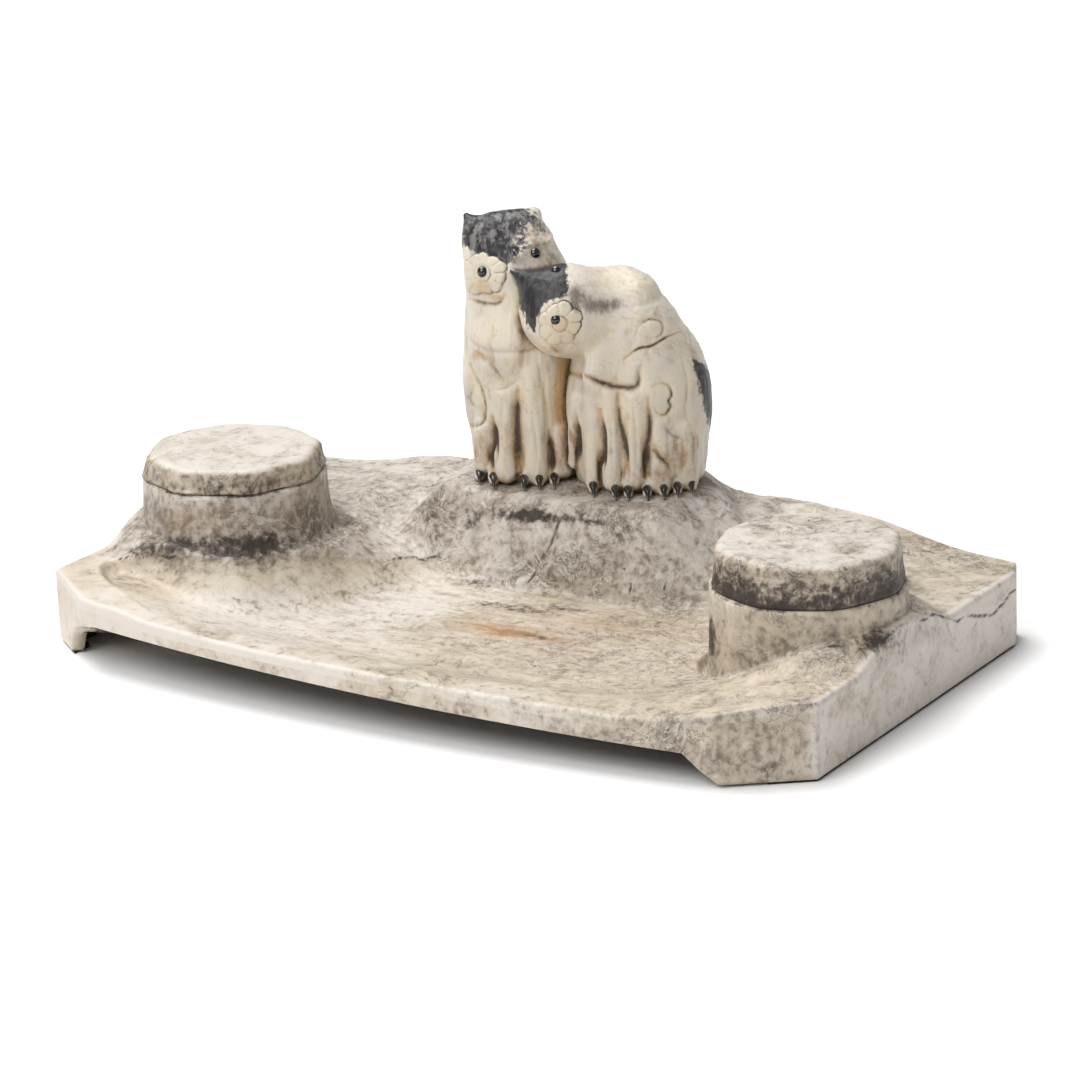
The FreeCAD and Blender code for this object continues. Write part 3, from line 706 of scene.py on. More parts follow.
def tray_surface(relief, wobble):
    """Points and faces of the tray: the grid of its top, then loops down its rounded edge, wall and
    underside, closed by one face in the hollow."""
    columns = tray_columns()
    rows = tray_rows()
    x = np.tile(columns, (len(rows), 1))
    front = front_edge(x, EDGE_ROUND)
    y = mix(front, back_edge(x, EDGE_ROUND), rows[:, None])

    def ground(px, py):
        return tray_top(px, py, relief, wobble)

    z = ground(x, y)
    block = 2 * BLOCK_RINGS + 1
    down = slice(FRONT_ROWS, FRONT_ROWS + block)
    for side, across in (("left", slice(0, block)), ("right", slice(len(columns) - block, len(columns)))):
        part = down, across
        x[part], y[part], z[part] = well_block(x[part], y[part], side, ground)
    top = np.stack([x, y, z], -1)
    index = np.arange(x.size).reshape(x.shape)
    rim = np.concatenate([index[0], index[1:-1, -1], index[-1, ::-1], index[1:-1, 0][::-1]])
    rim_points = top.reshape(-1, 3)[rim]
    on_front = np.zeros(len(rim), bool)
    on_front[:len(columns)] = True
    arch = np.where(on_front, np.interp(rim_points[:, 0], ARCH_X, ARCH_Z), BASE_BOTTOM)
    ceiling = np.maximum(arch, HOLLOW_TOP)
    turn = np.linspace(0.0, np.pi / 2, 5)[1:]
    levels = [(EDGE_ROUND * (1 - np.sin(a)), rim_points[:, 2] - EDGE_ROUND * (1 - np.cos(a))) for a in turn]
    top_of_wall = levels[-1][1]
    shares = np.linspace(0.0, 1.0, WALL_LEVELS)[1:]
    levels += [(0.0, mix(top_of_wall, arch + FOOT_ROUND, t)) for t in shares]
    levels += [(FOOT_ROUND * (1 - np.cos(a)), arch + FOOT_ROUND * (1 - np.sin(a))) for a in turn[1::2]]
    levels += [(WALL - 0.2, arch), (WALL, ceiling), (ARCH_DEPTH, ceiling),
               (ARCH_DEPTH + 1.0, np.full(len(rim), HOLLOW_TOP))]
    loops = [np.column_stack([tray_loop(columns, rows, inset), heights]) for inset, heights in levels]
    points = np.concatenate([top.reshape(-1, 3)] + loops)
    faces = grid_faces(*x.shape)
    numbers = np.concatenate([rim[None], x.size + np.arange(len(loops) * len(rim)).reshape(len(loops), -1)])
    numbers = np.concatenate([numbers, numbers[:, :1]], axis=1)
    corners = [numbers[:-1, :-1], numbers[1:, :-1], numbers[1:, 1:], numbers[:-1, 1:]]
    faces += np.stack(corners, -1).reshape(-1, 4).tolist()
    faces.append(numbers[-1, :-1][::-1].tolist())
    return points, faces


# Marks on the tray, in millimetres: place, radii and strength of its stains; several dark spots are painted
# shade, beside the right well, at the left well's foot and below the owls' feet
RUST_SPOTS = (((1, -25, 15), (15, 6.5, 9), 1.2), ((19, -25, 15), (17, 4.5, 9), 0.8),
              ((-128, -46, 46), (24, 8, 9), 0.3), ((-95, 8, 30), (12, 12, 5), 0.25),
              ((30, 0, 15), (40, 14, 6), 0.3))
DARK_SPOTS = (((-114, -43, 36.5), (14, 9, 7), 0.85), ((-100, -31, 37), (10, 13, 7), 0.85),
              ((-90, -9, 36), (8, 13, 7), 0.4), ((-131, -49, 37.5), (9, 7, 5), 0.8),
              ((-146, -52, 34), (10, 5, 4), 0.75), ((-90, 22, 31.5), (13, 13, 7), 0.35),
              ((-70, 33, 36), (9, 9, 8), 0.45), ((-58, 29, 32), (7, 7, 8), 0.35),
              ((-44, 29.5, 36.7), (6, 5, 5), 0.8), ((-25, 32, 40.7), (12, 5, 2.6), 0.9),
              ((-12, 32.5, 41.6), (10, 5, 2.4), 0.8), ((8.5, 33, 43), (16, 5, 2.4), 0.8),
              ((-33, 17, 16), (16, 5, 5), 0.7), ((-7, 0, 15), (22, 5, 5), 0.75),
              ((14, 7.5, 15), (14, 4, 5), 0.65), ((20, -25, 15), (15, 3, 5), 0.65),
              ((103, -35, 30), (6, 9, 10), 0.9), ((99, -22, 28), (6, 12, 10), 0.8),
              ((168, -27, 37.5), (7, 13, 5), 0.95), ((155, -88, 6), (10, 9, 5), 0.6),
              ((-152, -60, 29), (10, 5, 4), 0.4))
# cracks, as lines through places on the surface
CRACKS = (((-154, -57, 30), (-147, -55, 31.5), (-135, -52.5, 33.5), (-124, -50.5, 34)),
          ((-68, 9, 23), (-64.5, 14.5, 22.2), (-55, 22, 21.3), (-42, 24.5, 21)),
          ((170, -21, 40), (170, 14, 34.5), (170, 33, 26), (170, 46, 24), (170, 62, 19.5), (170, 83, 24),
           (169, 88, 31)),
          ((-4, 33, 42.5), (-5.5, 30.5, 36.5), (-8.5, 27, 28), (-14, 22, 17)),
          ((28.5, 27, 28), (32.5, 24.5, 22), (36, 22, 17)), ((46.5, 30, 29.5), (47.5, 26, 21)),
          ((118, -47, 44), (124, -48, 36), (121, -50, 28)),
          ((150, -42, 44), (156, -40, 38), (164, -33, 36)))
PEDESTAL_DARKENING = {"left": 0.95, "right": 0.5}
CRACK_REACH = 9.0        # how far from a crack its distance is kept
CRACK_SPLIT = 4          # pieces to each straight run of a crack
CRACK_SHAKE = 1.3
CRACK_GRAIN = 3.7
# Areas of the tray: where they start and how far they take to come in or die away
TOP_DEPTH = 4.0          # what lies further below the top is wall or underside
TOP_NEAR = (1.0, 2.0)
DISH_FRONT = (-84.0, 12.0)
COVE_AREA = (-95.0, 70.0)       # middle and half length along X
FLOOR_TOP = (17.5, 9.0)
FLOOR_ENDS = (100.0, 45.0)
ROCK_FRONT = (12.0, 16.0)
ROCK_BROW = (46.5, 1.5)
ROCK_AREA = (-20.0, 75.0, 20.0)     # middle and half length along X, and the fading
# the rock's top under the owls, greyed and darkened as painted shade under their feet
SEAT_TOP = (46.0, 1.5)
SEAT_ENDS = (52.0, 6.0)
SEAT_FRONT = (26.0, 4.0)
BANK_AREA = 26.0
BANK_END = (-40.0, 20.0)
# the dish's left tip: warmer and darker inside, the darkening a painted shade of its concave end
TIP_SHADE_AREA = (-140.0, 30.0)
LEFT_DISH = (-62.0, 80.0)
LEFT_SHAKE = 24.0        # how far that area's edge wanders
LEFT_END = (-120.0, 25.0)
RIGHT_END = (85.0, 40.0)
END_FACE = (HALF_WIDTH - 4.0, 3.0)
FRONT_FACE = (0.8, 1.0)
FRONT_RIGHT = (-40.0, 160.0)
# rounded top edges, paler as wear and as a painted highlight
WORN_HIGHLIT_EDGE = (0.5, 3.0)
WORN_HIGHLIT_DEPTH = (-3.0, 4.0)
WELL_AREA = (40.0, 3.0, 6.0)        # radius and half breadth of the ring around a well, and the fading
WELL_FOOT = (22.0, 6.0)
BAND_DARKENING = 0.35
BAND_FALL = (2.0, 8.0)
# dirt and warmth of the areas, over those of the tray as a whole; they also paint shade on the rock's top
# under the owls and in the dish's tip, and a highlight on the worn top edges
MEAN_DIRT = 0.4
DIRT_AND_PAINTED_LIGHT = {"seat": 0.25, "bank": 0.1, "rough": 0.36, "pedestals": 0.35, "right_end": 0.2, "floor": 0.22,
        "tip": 0.2, "top": 0.12, "front": 0.28, "clean_highlit_edge": -0.3, "end_face": -0.2, "left_dish": -0.16,
        "left_end": -0.2}
MEAN_WARMTH = 0.5
WARMTH = {"right_end": 0.35, "floor": 0.3, "left_dish": -0.6, "stone": -0.3, "tip": 0.4, "bank": 0.35,
          "seat": -0.3, "worn_and_highlit": -0.4, "end_face": -0.5}


def line_gap(points, line):
    """Distance from a line of straight pieces that is broken up and shaken a little."""
    count = CRACK_SPLIT * (len(line) - 1) + 1
    steps = np.linspace(0.0, len(line) - 1.0, count)
    line = np.stack([np.interp(steps, np.arange(len(line)), axis) for axis in np.array(line).T], -1)
    line += CRACK_SHAKE * np.stack([noise(line, CRACK_GRAIN, seed) for seed in (51, 52, 53)], -1)
    return np.min([rod(points, a, b, 0.0, 0.0) for a, b in zip(line[:-1], line[1:])], axis=0)


def edge_inset(x, y):
    """Distance of places of the plan from its edges."""
    return np.minimum(np.minimum(y - front_edge(x, 0.0), back_edge(x, 0.0) - y), HALF_WIDTH - np.abs(x))


def pedestal_marks(points):
    """Darkening of the wells' pedestals, less in the band below the lid where a highlight is painted, and
    the dark line around their tops.
    """
    x, y, z = points.T
    dirt_and_painted_light = np.zeros(len(points))
    line = np.zeros(len(points))
    patchy = 0.55 + 0.5 * noise(points, 9.0, 6)
    for side, sign in SIDES.items():
        from_middle = np.hypot(x - sign * WELL_X, y - WELL_Y)
        on_rim = fade(np.abs(from_middle - PEDESTAL_RADIUS + 0.8) / 1.5)
        line += fade(np.abs(z - WELL_TOP[side] + 0.2) / 0.9) * on_rim * patchy
        # lighter band just below the lid: a painted highlight on the pedestal's top edge; further down each
        # pedestal darkens towards its foot
        banded = mix(BAND_DARKENING, 1.0, rise(WELL_TOP[side] - z, *BAND_FALL))
        near_well = fall(np.abs(from_middle - WELL_AREA[0]), *WELL_AREA[1:]) * rise(z, *WELL_FOOT)
        dirt_and_painted_light += PEDESTAL_DARKENING[side] * banded * near_well
    return dirt_and_painted_light, line


def tray_areas(points, pedestals):
    """Shares of the tray's areas at its points, from 0 to 1, and a share of painted shade for its underside
    and hollow.
    """
    x, y, z = points.T
    ground = tray_top(x, y, 0.0, 0.0)
    edge, _ = beside(x, y, DISH_EDGE)
    inset = edge_inset(x, y)
    inside = z < ground - TOP_DEPTH
    in_dish = (edge < 0.0) * rise(y, *DISH_FRONT) * ~inside
    near_cove = np.abs(x - COVE_AREA[0]) < COVE_AREA[1]
    behind = rise(edge, *STEP_RISE) * near_cove * ~inside * rise(y, *GROUND_FRONT)
    floor = fall(z, *FLOOR_TOP) * fall(np.abs(x), *FLOOR_ENDS) * ~inside
    rock = rise(y, *ROCK_FRONT) * fall(z, *ROCK_BROW) * fall(np.abs(x - ROCK_AREA[0]), *ROCK_AREA[1:])
    right_end = rise(x, *RIGHT_END)
    # rounded top edges: paler and cleaner, partly wear and partly a painted highlight
    worn_and_highlit = fall(inset, *WORN_HIGHLIT_EDGE) * ~inside * rise(ground - z, *WORN_HIGHLIT_DEPTH)
    plain = 1.0 - np.maximum(behind, np.maximum(0.5 * rock, 0.7 * floor))
    areas = {
        "pedestals": pedestals, "floor": floor, "right_end": right_end, "worn_and_highlit": worn_and_highlit,
        "clean_highlit_edge": worn_and_highlit * (1.0 - 0.7 * right_end),
        "rough": np.maximum(rock, 0.75 * behind),
        "stone": np.maximum(rock, behind),
        # painted shade on the rock's top under the owls' feet
        "seat": rise(z, *SEAT_TOP) * fall(np.abs(x - ROCK_MIDDLE[0]), *SEAT_ENDS) * rise(y, *SEAT_FRONT),
        "bank": fade(-edge / BANK_AREA) * in_dish * fall(x, *BANK_END),
        # the dish's left tip: warmer tint and painted shade of its concave end
        "tip": in_dish * fall(x, *TIP_SHADE_AREA),
        "left_dish": fall(x + LEFT_SHAKE * noise(points, 17.0, 8), *LEFT_DISH) * floor,
        "left_end": fall(x, *LEFT_END) * (1.0 - behind) * (1.0 - pedestals),
        "end_face": rise(x, *END_FACE),
        "front": fall(y - front_edge(x, 0.0), *FRONT_FACE) * rise(x, *FRONT_RIGHT),
        "top": fall(np.abs(z - ground), *TOP_NEAR) * plain,
    }
    # painted shade: the bottom and the hollow under the lip are darkened nearly black
    under = fall(z, BASE_BOTTOM + 0.5, 1.0) * (inset > 1.5) + inside * (inset > WALL - 1.0)
    return areas, under


def tray_marks(points):
    """Attributes of the tray: dirt with painted shade and highlight, dark stains with painted shade,
    warmth, rust, streaks and distances from the cracks.
    """
    pedestals, dark = pedestal_marks(points)
    areas, under = tray_areas(points, pedestals)
    dark = dark + under + sum(share * blob(points, place, radii) for place, radii, share in DARK_SPOTS)
    rust = sum(share * blob(points, place, radii) for place, radii, share in RUST_SPOTS)
    crack = np.min([line_gap(points, line) for line in CRACKS], axis=0)
    return {"dirt_and_painted_light": MEAN_DIRT + sum(share * areas[area] for area, share in DIRT_AND_PAINTED_LIGHT.items()),
            "warm": MEAN_WARMTH + sum(share * areas[area] for area, share in WARMTH.items()),
            "dark": np.clip(dark, 0.0, 1.5), "rust": rust, "crack": np.minimum(crack, CRACK_REACH),
            "streaks": areas["floor"]}


def marbled_ceramic(name, settings):
    """Marbled ceramic: lilac-white to beige, clouded and speckled brown where it is dirty and where shade
    is painted, paler on the worn top edges where a highlight is painted, stained and painted nearly black
    as shade in the recesses and underneath, streaked along the dish and crossed by a few cracks."""
    paint = Paint(name)
    flat = paint.stretched((1.0, 1.0, 1.0))
    warped = paint.warped(flat, 0.06, 8.0)
    tone = paint.noise(flat, 0.028, 3.0, 0.5, 0.3)
    cloud = paint.noise(warped, 0.09, 5.0, 0.6, 0.4)
    fine = paint.noise(warped, 0.36, 4.0, 0.62)
    along = paint.stretched((0.3, 1.0, 1.0), (0.0, 0.0, 0.05))
    streak = paint.noise(along, 0.26, 6.0, 0.65, 0.6)
    # greyer and more speckled where dirty and where shade is painted, cleaner and paler where a highlight
    # is painted on the worn top edges
    dirt_and_painted_light = paint.attribute("dirt_and_painted_light")
    streaked = paint.attribute("streaks")
    warmth = paint.attribute("warm") + (tone - 0.5) * 1.4 + (cloud - 0.5) * 0.8
    colour = paint.blend(settings.pale, settings.cream, warmth.step(0.1, 0.9))
    grain = cloud * 0.5 + tone * 0.2 + fine * 0.3 + streaked * (streak - cloud) * 0.5
    smudge_and_shade = (grain + dirt_and_painted_light * 0.3).step(0.54, 0.88)
    colour = paint.blend(colour, settings.grey, smudge_and_shade * 0.9)
    speckle = (fine * 0.6 + cloud * 0.4 + dirt_and_painted_light * 0.2).step(0.63, 0.84)
    colour = paint.blend(colour, settings.umber, speckle * 0.7)
    vein = abs(paint.noise(warped, 0.055, 4.0, 0.6, 1.2) - 0.5)
    ridge = vein.step(0.035, 0.0) * dirt_and_painted_light.step(0.45, 0.75) * tone.step(0.4, 0.6)
    colour = paint.blend(colour, settings.pale, ridge * 0.55)
    rust = paint.attribute("rust") * streak.step(0.2, 0.62)
    colour = paint.blend(colour, settings.rust, rust * 0.85)
    hair = abs(paint.noise(warped, 0.05, 6.0, 0.65, 1.5) - 0.5).step(0.010, 0.0)
    hair = hair * (tone + dirt_and_painted_light * 0.3).step(0.66, 0.84)
    colour = paint.blend(colour, settings.dark, hair * 0.4)
    crack = (paint.attribute("crack") + (fine - 0.5) * 1.4).step(0.95, 0.3) * 0.85
    # stains, and painted shade of the underside, hollow and crevices, laid on in umber and then nearly
    # black
    stain_and_shade = (paint.attribute("dark") * 0.8 + grain * 0.7 + (fine - 0.5) * 0.9).step(0.5, 1.15)
    colour = paint.blend(colour, settings.umber, stain_and_shade * 0.85)
    colour = paint.blend(colour, settings.dark, (stain_and_shade * 1.6 - 0.75).most(crack).least(0.9))
    height = fine * 0.5 + cloud * 0.5 + ridge * 0.3 - hair * 0.3 - crack * 0.6 - stain_and_shade * 0.25
    return paint.finish({"Base Color": colour, "Roughness": 0.44 + fine * 0.22,
                         "Normal": paint.bump(height, 0.55), "Specular IOR Level": 0.4,
                         "Coat Weight": 0.05, "Coat Roughness": 0.35})


class INKSTAND_OT_tray(Operator):
    """Model the marbled tray with its dish, rock and wells"""

    bl_idname = "inkstand.tray"
    bl_label = "Tray"

    def execute(self, context):
        settings = context.scene.inkstand_tray
        points, faces = tray_surface(settings.relief / MM, settings.wobble / MM)
        made = add_mesh("marbled_tray", points, faces, tray_marks(points))
        dress(made, "tray", "tray_ceramic", marbled_ceramic("tray_marble", settings), "tray_base")
        return {"FINISHED"}


# Lids
LID_HALF = 35.5          # half the width across flats at the seat
LID_TAPER = 1.2          # drawn in at the top
LID_ROUND = 3.6          # of the top edge
LID_SOFTNESS = {"left": 22.0, "right": 13.0}    # higher is crisper at the eight corners
LID_STEPS = 192
SPIGOT_RADIUS = WELL_BORE - POT_GAP - 3.5
SPIGOT_BEVEL = 0.6
LID_PIN = 0.001          # radius of the first and the last ring
LID_FOOT = ((1.4, 0.05), (0.4, 0.35))    # rounded foot of the side: in from the side and up from the seat
LID_FOOT_TOP = 1.2
LID_WOBBLE = 0.5
LID_STAIN = {"left": 0.36, "right": 0.74}    # how dark the sides are stained


def lid_surface(side):
    """Points and faces of a lid: rings of a soft octagon from the middle of the spigot's underside, out
    along the seat, up the side, over the rounded edge and in to the middle of the top."""
    low, high = node_box(side + "_lid")
    seat = WELL_TOP[side]
    top = high[2]
    angle = np.linspace(0.0, 2 * np.pi, LID_STEPS, endpoint=False)
    flats = np.radians(22.5 + 45.0 * np.arange(4))
    softness = LID_SOFTNESS[side]
    octagon = (np.abs(np.cos(angle[:, None] - flats)) ** softness).sum(axis=1) ** (-1.0 / softness)
    upper = LID_HALF - LID_TAPER
    profile = [(LID_PIN, low[2], 0.0), (SPIGOT_RADIUS - SPIGOT_BEVEL, low[2], 0.0),
               (SPIGOT_RADIUS, low[2] + SPIGOT_BEVEL, 0.0), (SPIGOT_RADIUS, seat + LID_FOOT[0][1], 0.0)]
    profile += [(LID_HALF - back, seat + up, 1.0) for back, up in LID_FOOT]
    wall_top = top - LID_ROUND
    shares = np.linspace(0.0, 1.0, 10)
    profile += [(mix(LID_HALF, upper, t), mix(seat + LID_FOOT_TOP, wall_top, t), 1.0) for t in shares]
    turn = np.linspace(0.0, np.pi / 2, 7)[1:]
    profile += [(upper - LID_ROUND * (1 - np.cos(a)), wall_top + LID_ROUND * np.sin(a), 1.0) for a in turn]
    profile += [(r, top, 1.0) for r in np.linspace(upper - LID_ROUND, LID_PIN, 16)[1:]]
    radius, height, square = np.array(profile).T
    ring = radius[:, None] * mix(1.0, octagon[None], square[:, None])
    points = np.stack([SIDES[side] * WELL_X + ring * np.cos(angle), WELL_Y + ring * np.sin(angle),
                       np.repeat(height[:, None], LID_STEPS, axis=1)], -1)
    out = np.stack([np.cos(angle), np.sin(angle), 0.0 * angle], -1)
    free = ease((points[..., 2] - seat - 0.6) / 2.0)
    wave = np.clip(fractal(points, 13.0, 3, 31), -1.0, 1.0) - 0.6
    points += (LID_WOBBLE * free * wave)[..., None] * out
    points[..., 2] += LID_WOBBLE * 0.6 * free * ease((points[..., 2] - top + 3.0) / 2.0) * (wave - 0.4)
    middle = len(points) * LID_STEPS
    faces = grid_faces(len(points), LID_STEPS, wrap=True)
    ends = [points[0].mean(axis=0), points[-1].mean(axis=0)]
    first = np.arange(LID_STEPS)
    second = np.roll(first, -1)
    last = middle - LID_STEPS
    faces += np.stack([np.full(LID_STEPS, middle), second, first], -1).tolist()
    faces += np.stack([np.full(LID_STEPS, middle + 1), last + first, last + second], -1).tolist()
    return np.concatenate([points.reshape(-1, 3), ends]), faces


def lid_marks(points, side):
    """Attributes of a lid: mottled and dark low on its sides, cool and clean on top."""
    z = points[:, 2]
    seat = WELL_TOP[side]
    top = z.max()
    from_middle = np.hypot(points[:, 0] - SIDES[side] * WELL_X, points[:, 1] - WELL_Y)
    wall = ease((from_middle - LID_HALF + 6.5) / 3.5) * fade((z - top + 2.2) / 1.8)
    low = fade((z - seat - 1.0) / ((top - seat) * 0.9))
    none = np.zeros(len(points))
    patches = ease(noise(points, 15.0, 5) / 0.9 + 0.5)
    seam = fade((z - seat) / 1.1) * wall * (0.5 + 0.5 * noise(points, 8.0, 7))
    dark = wall * (LID_STAIN[side] * (0.5 + 0.5 * low) + 0.25 * low * patches) + seam
    return {"dirt_and_painted_light": mix(0.2 + 0.55 * LID_STAIN[side], 0.85, wall), "dark": np.clip(dark, 0.0, 1.0),
            "warm": mix(0.15, 0.95, wall), "rust": none, "crack": none + CRACK_REACH, "streaks": none}


class INKSTAND_OT_lids(Operator):
    """Model the two loose eight-sided lids"""

    bl_idname = "inkstand.lids"
    bl_label = "Lids"

    def execute(self, context):
        material = marbled_ceramic("lid_marble", context.scene.inkstand_tray)
        for side in SIDES:
            points, faces = lid_surface(side)
            made = add_mesh(side + "_marbled_lid", points, faces, lid_marks(points, side))
            dress(made, side + "_lid", "lid_ceramic", material, side + "_lid")
        return {"FINISHED"}


GLASS_COLOUR = (0.86, 0.93, 0.91, 1.0)
BEAD_COLOUR = (0.006, 0.005, 0.005, 1.0)
FELT_COLOURS = ((0.012, 0.011, 0.011), (0.035, 0.031, 0.029))


class INKSTAND_OT_fittings(Operator):
    """Finish the pieces kept from the solids: glass pots, eye beads and felt strips"""

    bl_idname = "inkstand.fittings"
    bl_label = "Pots, eyes and felts"

    def execute(self, context):
        glass = Paint("pot_glass_clear").finish({"Base Color": GLASS_COLOUR, "Roughness": 0.04, "IOR": 1.5,
                                                 "Transmission Weight": 0.92})
        bead = Paint("eye_glass_black").finish({"Base Color": BEAD_COLOUR, "Roughness": 0.08,
                                                "Coat Weight": 0.8, "Coat Roughness": 0.03})
        felt_paint = Paint("felt_black")
        fibre = felt_paint.noise(felt_paint.stretched((1.0, 1.0, 1.0)), 1.4, 4.0, 0.7)
        shade = felt_paint.blend(*FELT_COLOURS, fibre)
        felt = felt_paint.finish({"Base Color": shade, "Roughness": 0.95,
                                  "Normal": felt_paint.bump(fibre, 0.3)})
        for name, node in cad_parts.items():
            for ending, material in (("_pot", glass), ("_eye", bead), ("_felt", felt)):
                if name.endswith(ending):
                    node.data.materials.clear()
                    node.data.materials.append(material)
        return {"FINISHED"}


# Owls. Places on a head are across and up in the view from its middle, in millimetres. Places on a trunk
# are across and height in the view, or a bearing from the viewer, to the viewer's right, and a height.
OWL_STEP = 0.6           # size of the squares of their skin
OWL_SINK = 1.5           # how far they stand in the ledge
OWL_MARGIN = 6.0         # room around the solid owls for their skin
RECESS_REACH = ((1.6, 0.35), (4.0, 0.35), (9.0, 0.3))     # how far recesses are felt for, and the weights
TAIL_SIZE = (8.5, 20.0, 5.0)
CLAW_RINGS = 9
CLAW_SIDES = 10
CLAW_LENGTH = 8.5
CLAW_RADIUS = 1.9
CLAW_ROOT = 10.0         # height over the seat at which a toe leaves the trunk
CLAW_OUT = 1.5
CLAW_HEIGHT = 3.2        # of a claw's start over the seat
CLAW_ARCH = 1.4
CLAW_DROP = 2.6          # from its start to its tip
CLAW_TAPER = 0.93
CLAW_COLOUR = (0.012, 0.010, 0.010, 1.0)
OWLS = {
    "left": SimpleNamespace(
        stand=(-38, 66), turn=24, head=(-41, 60, 138.5), roll=7, head_size=(17.4, 17.6, 15), square=2.7,
        # height, forward shift, half width and half depth
        trunk=((-2, 0, 20.5, 16), (4, 0, 22.3, 18), (14, 0, 23.3, 20.5), (37, 0, 24, 23), (57, 2, 23.8, 22),
               (74, 4.5, 21.8, 19.5), (88, 6, 18, 17), (97, 6.5, 12, 12)),
        ears=(((-11.5, 8, 2), (-16.4, 15.4, 0), 6, 1.1), ((4, 9.5, 2), (10.4, 16.4, 0), 7.5, 2.4)),
        beak=((-2.4, -3.6), (-4.2, -9.6)),
        # across, lower and upper height, radius
        lobes=((-18.6, 55, 71, 4.6), (-9.3, 53, 86, 5.6), (2.2, 52, 95, 6.2), (12.4, 53.5, 70, 5)),
        claws=(-20.4, -14.8, -2.6, 3.4, 9.4),
        # across, height, half width and half height of the swellings of the breast
        swells=((-11, 108, 14, 13),),
        # bearing and height at the shoulder and at the tip, half width
        wings=((-88, 104, -96, 62, 11), (112, 112, 150, 60, 12))),
    "right": SimpleNamespace(
        stand=(8, 76), turn=28, head=(-10.6, 50.8, 121.5), roll=102, head_size=(16.2, 13.8, 16.4),
        square=2.5,
        trunk=((-2, 0, 24, 18.5), (4, 0, 25.8, 21), (14, 0, 26.8, 24), (30, 0, 29.2, 26),
               (45, 0, 27.6, 25.5), (55, 0, 23.8, 24), (64, 2, 17.8, 20), (70, 4, 13.2, 15),
               (73.5, 4.8, 8.6, 10.4), (75.6, 5, 4.2, 5.4), (76.4, 5, 0.8, 1)),
        ears=(((-9, 9, 4), (-19.4, 15, 2), 6.5, 1.3), ((-7, -3, 9), (-10.2, -8, 9), 5, 1.6)),
        beak=((7, 6), (12, 3.5)),
        lobes=((-26.4, 57, 86, 3.2), (-19.2, 52, 86, 4.4), (-11.6, 53, 90, 4.8), (-2.8, 55, 88, 5.2),
               (6.8, 52, 76, 5.6), (16.8, 53, 74, 6.2)),
        claws=(-19.6, -11, -6, 1.5, 8, 13.5, 19.2),
        swells=((-13, 98, 12, 11), (14, 64, 12, 10)),
        wings=((-120, 112, -165, 62, 13),)),
}
# their parts, in millimetres; the sinking is into the trunk or the head
LOBE_ROOT = 8.0          # height over a lobe's foot at which it leaves the trunk
LOBE_SINK = (0.35, 0.8)  # of its foot and its top, in its radius
LOBE_DRAW = 0.92         # how far its top is drawn to the middle
LOBE_FOOT = 0.85         # radius of its foot, in its radius
SWELL_SINK = 4.4
SWELL_DEPTH = 6.0
WING_SINK = 3.0
WING_DEPTH = 4.4
TAIL_START = 66.0        # height at which the tail leaves the back
TAIL_OUT = 1.0
TAIL_MIDDLE = 9.0        # height of its middle over the seat
TOE_SINK = 5.0
TOE_OUT = 3.0
TOE_HEIGHT = 1.2         # of its tip over the seat
TOE_RADII = (2.6, 1.6)
BEAK_OUT = 0.6
BEAK_RADII = (1.9, 1.0)
FILLETS = {"head": 5.0, "ear": 3.0, "lobe": 1.0, "swell": 5.0, "wing": 1.2, "tail": 2.5,
           "toe": 1.2, "beak": 1.0}
FAR_OUT = 60.0           # where lines that look for a surface start, from the middle of a trunk
BEAK_REACH = 40.0        # and from the middle of a head
# Drawing on the owls' fronts, in pixels of the view's frame from this corner of it
OWL_CORNER = (450.0, 195.0)
OWL_SCALE = 2.54         # pixels to a millimetre on the owls
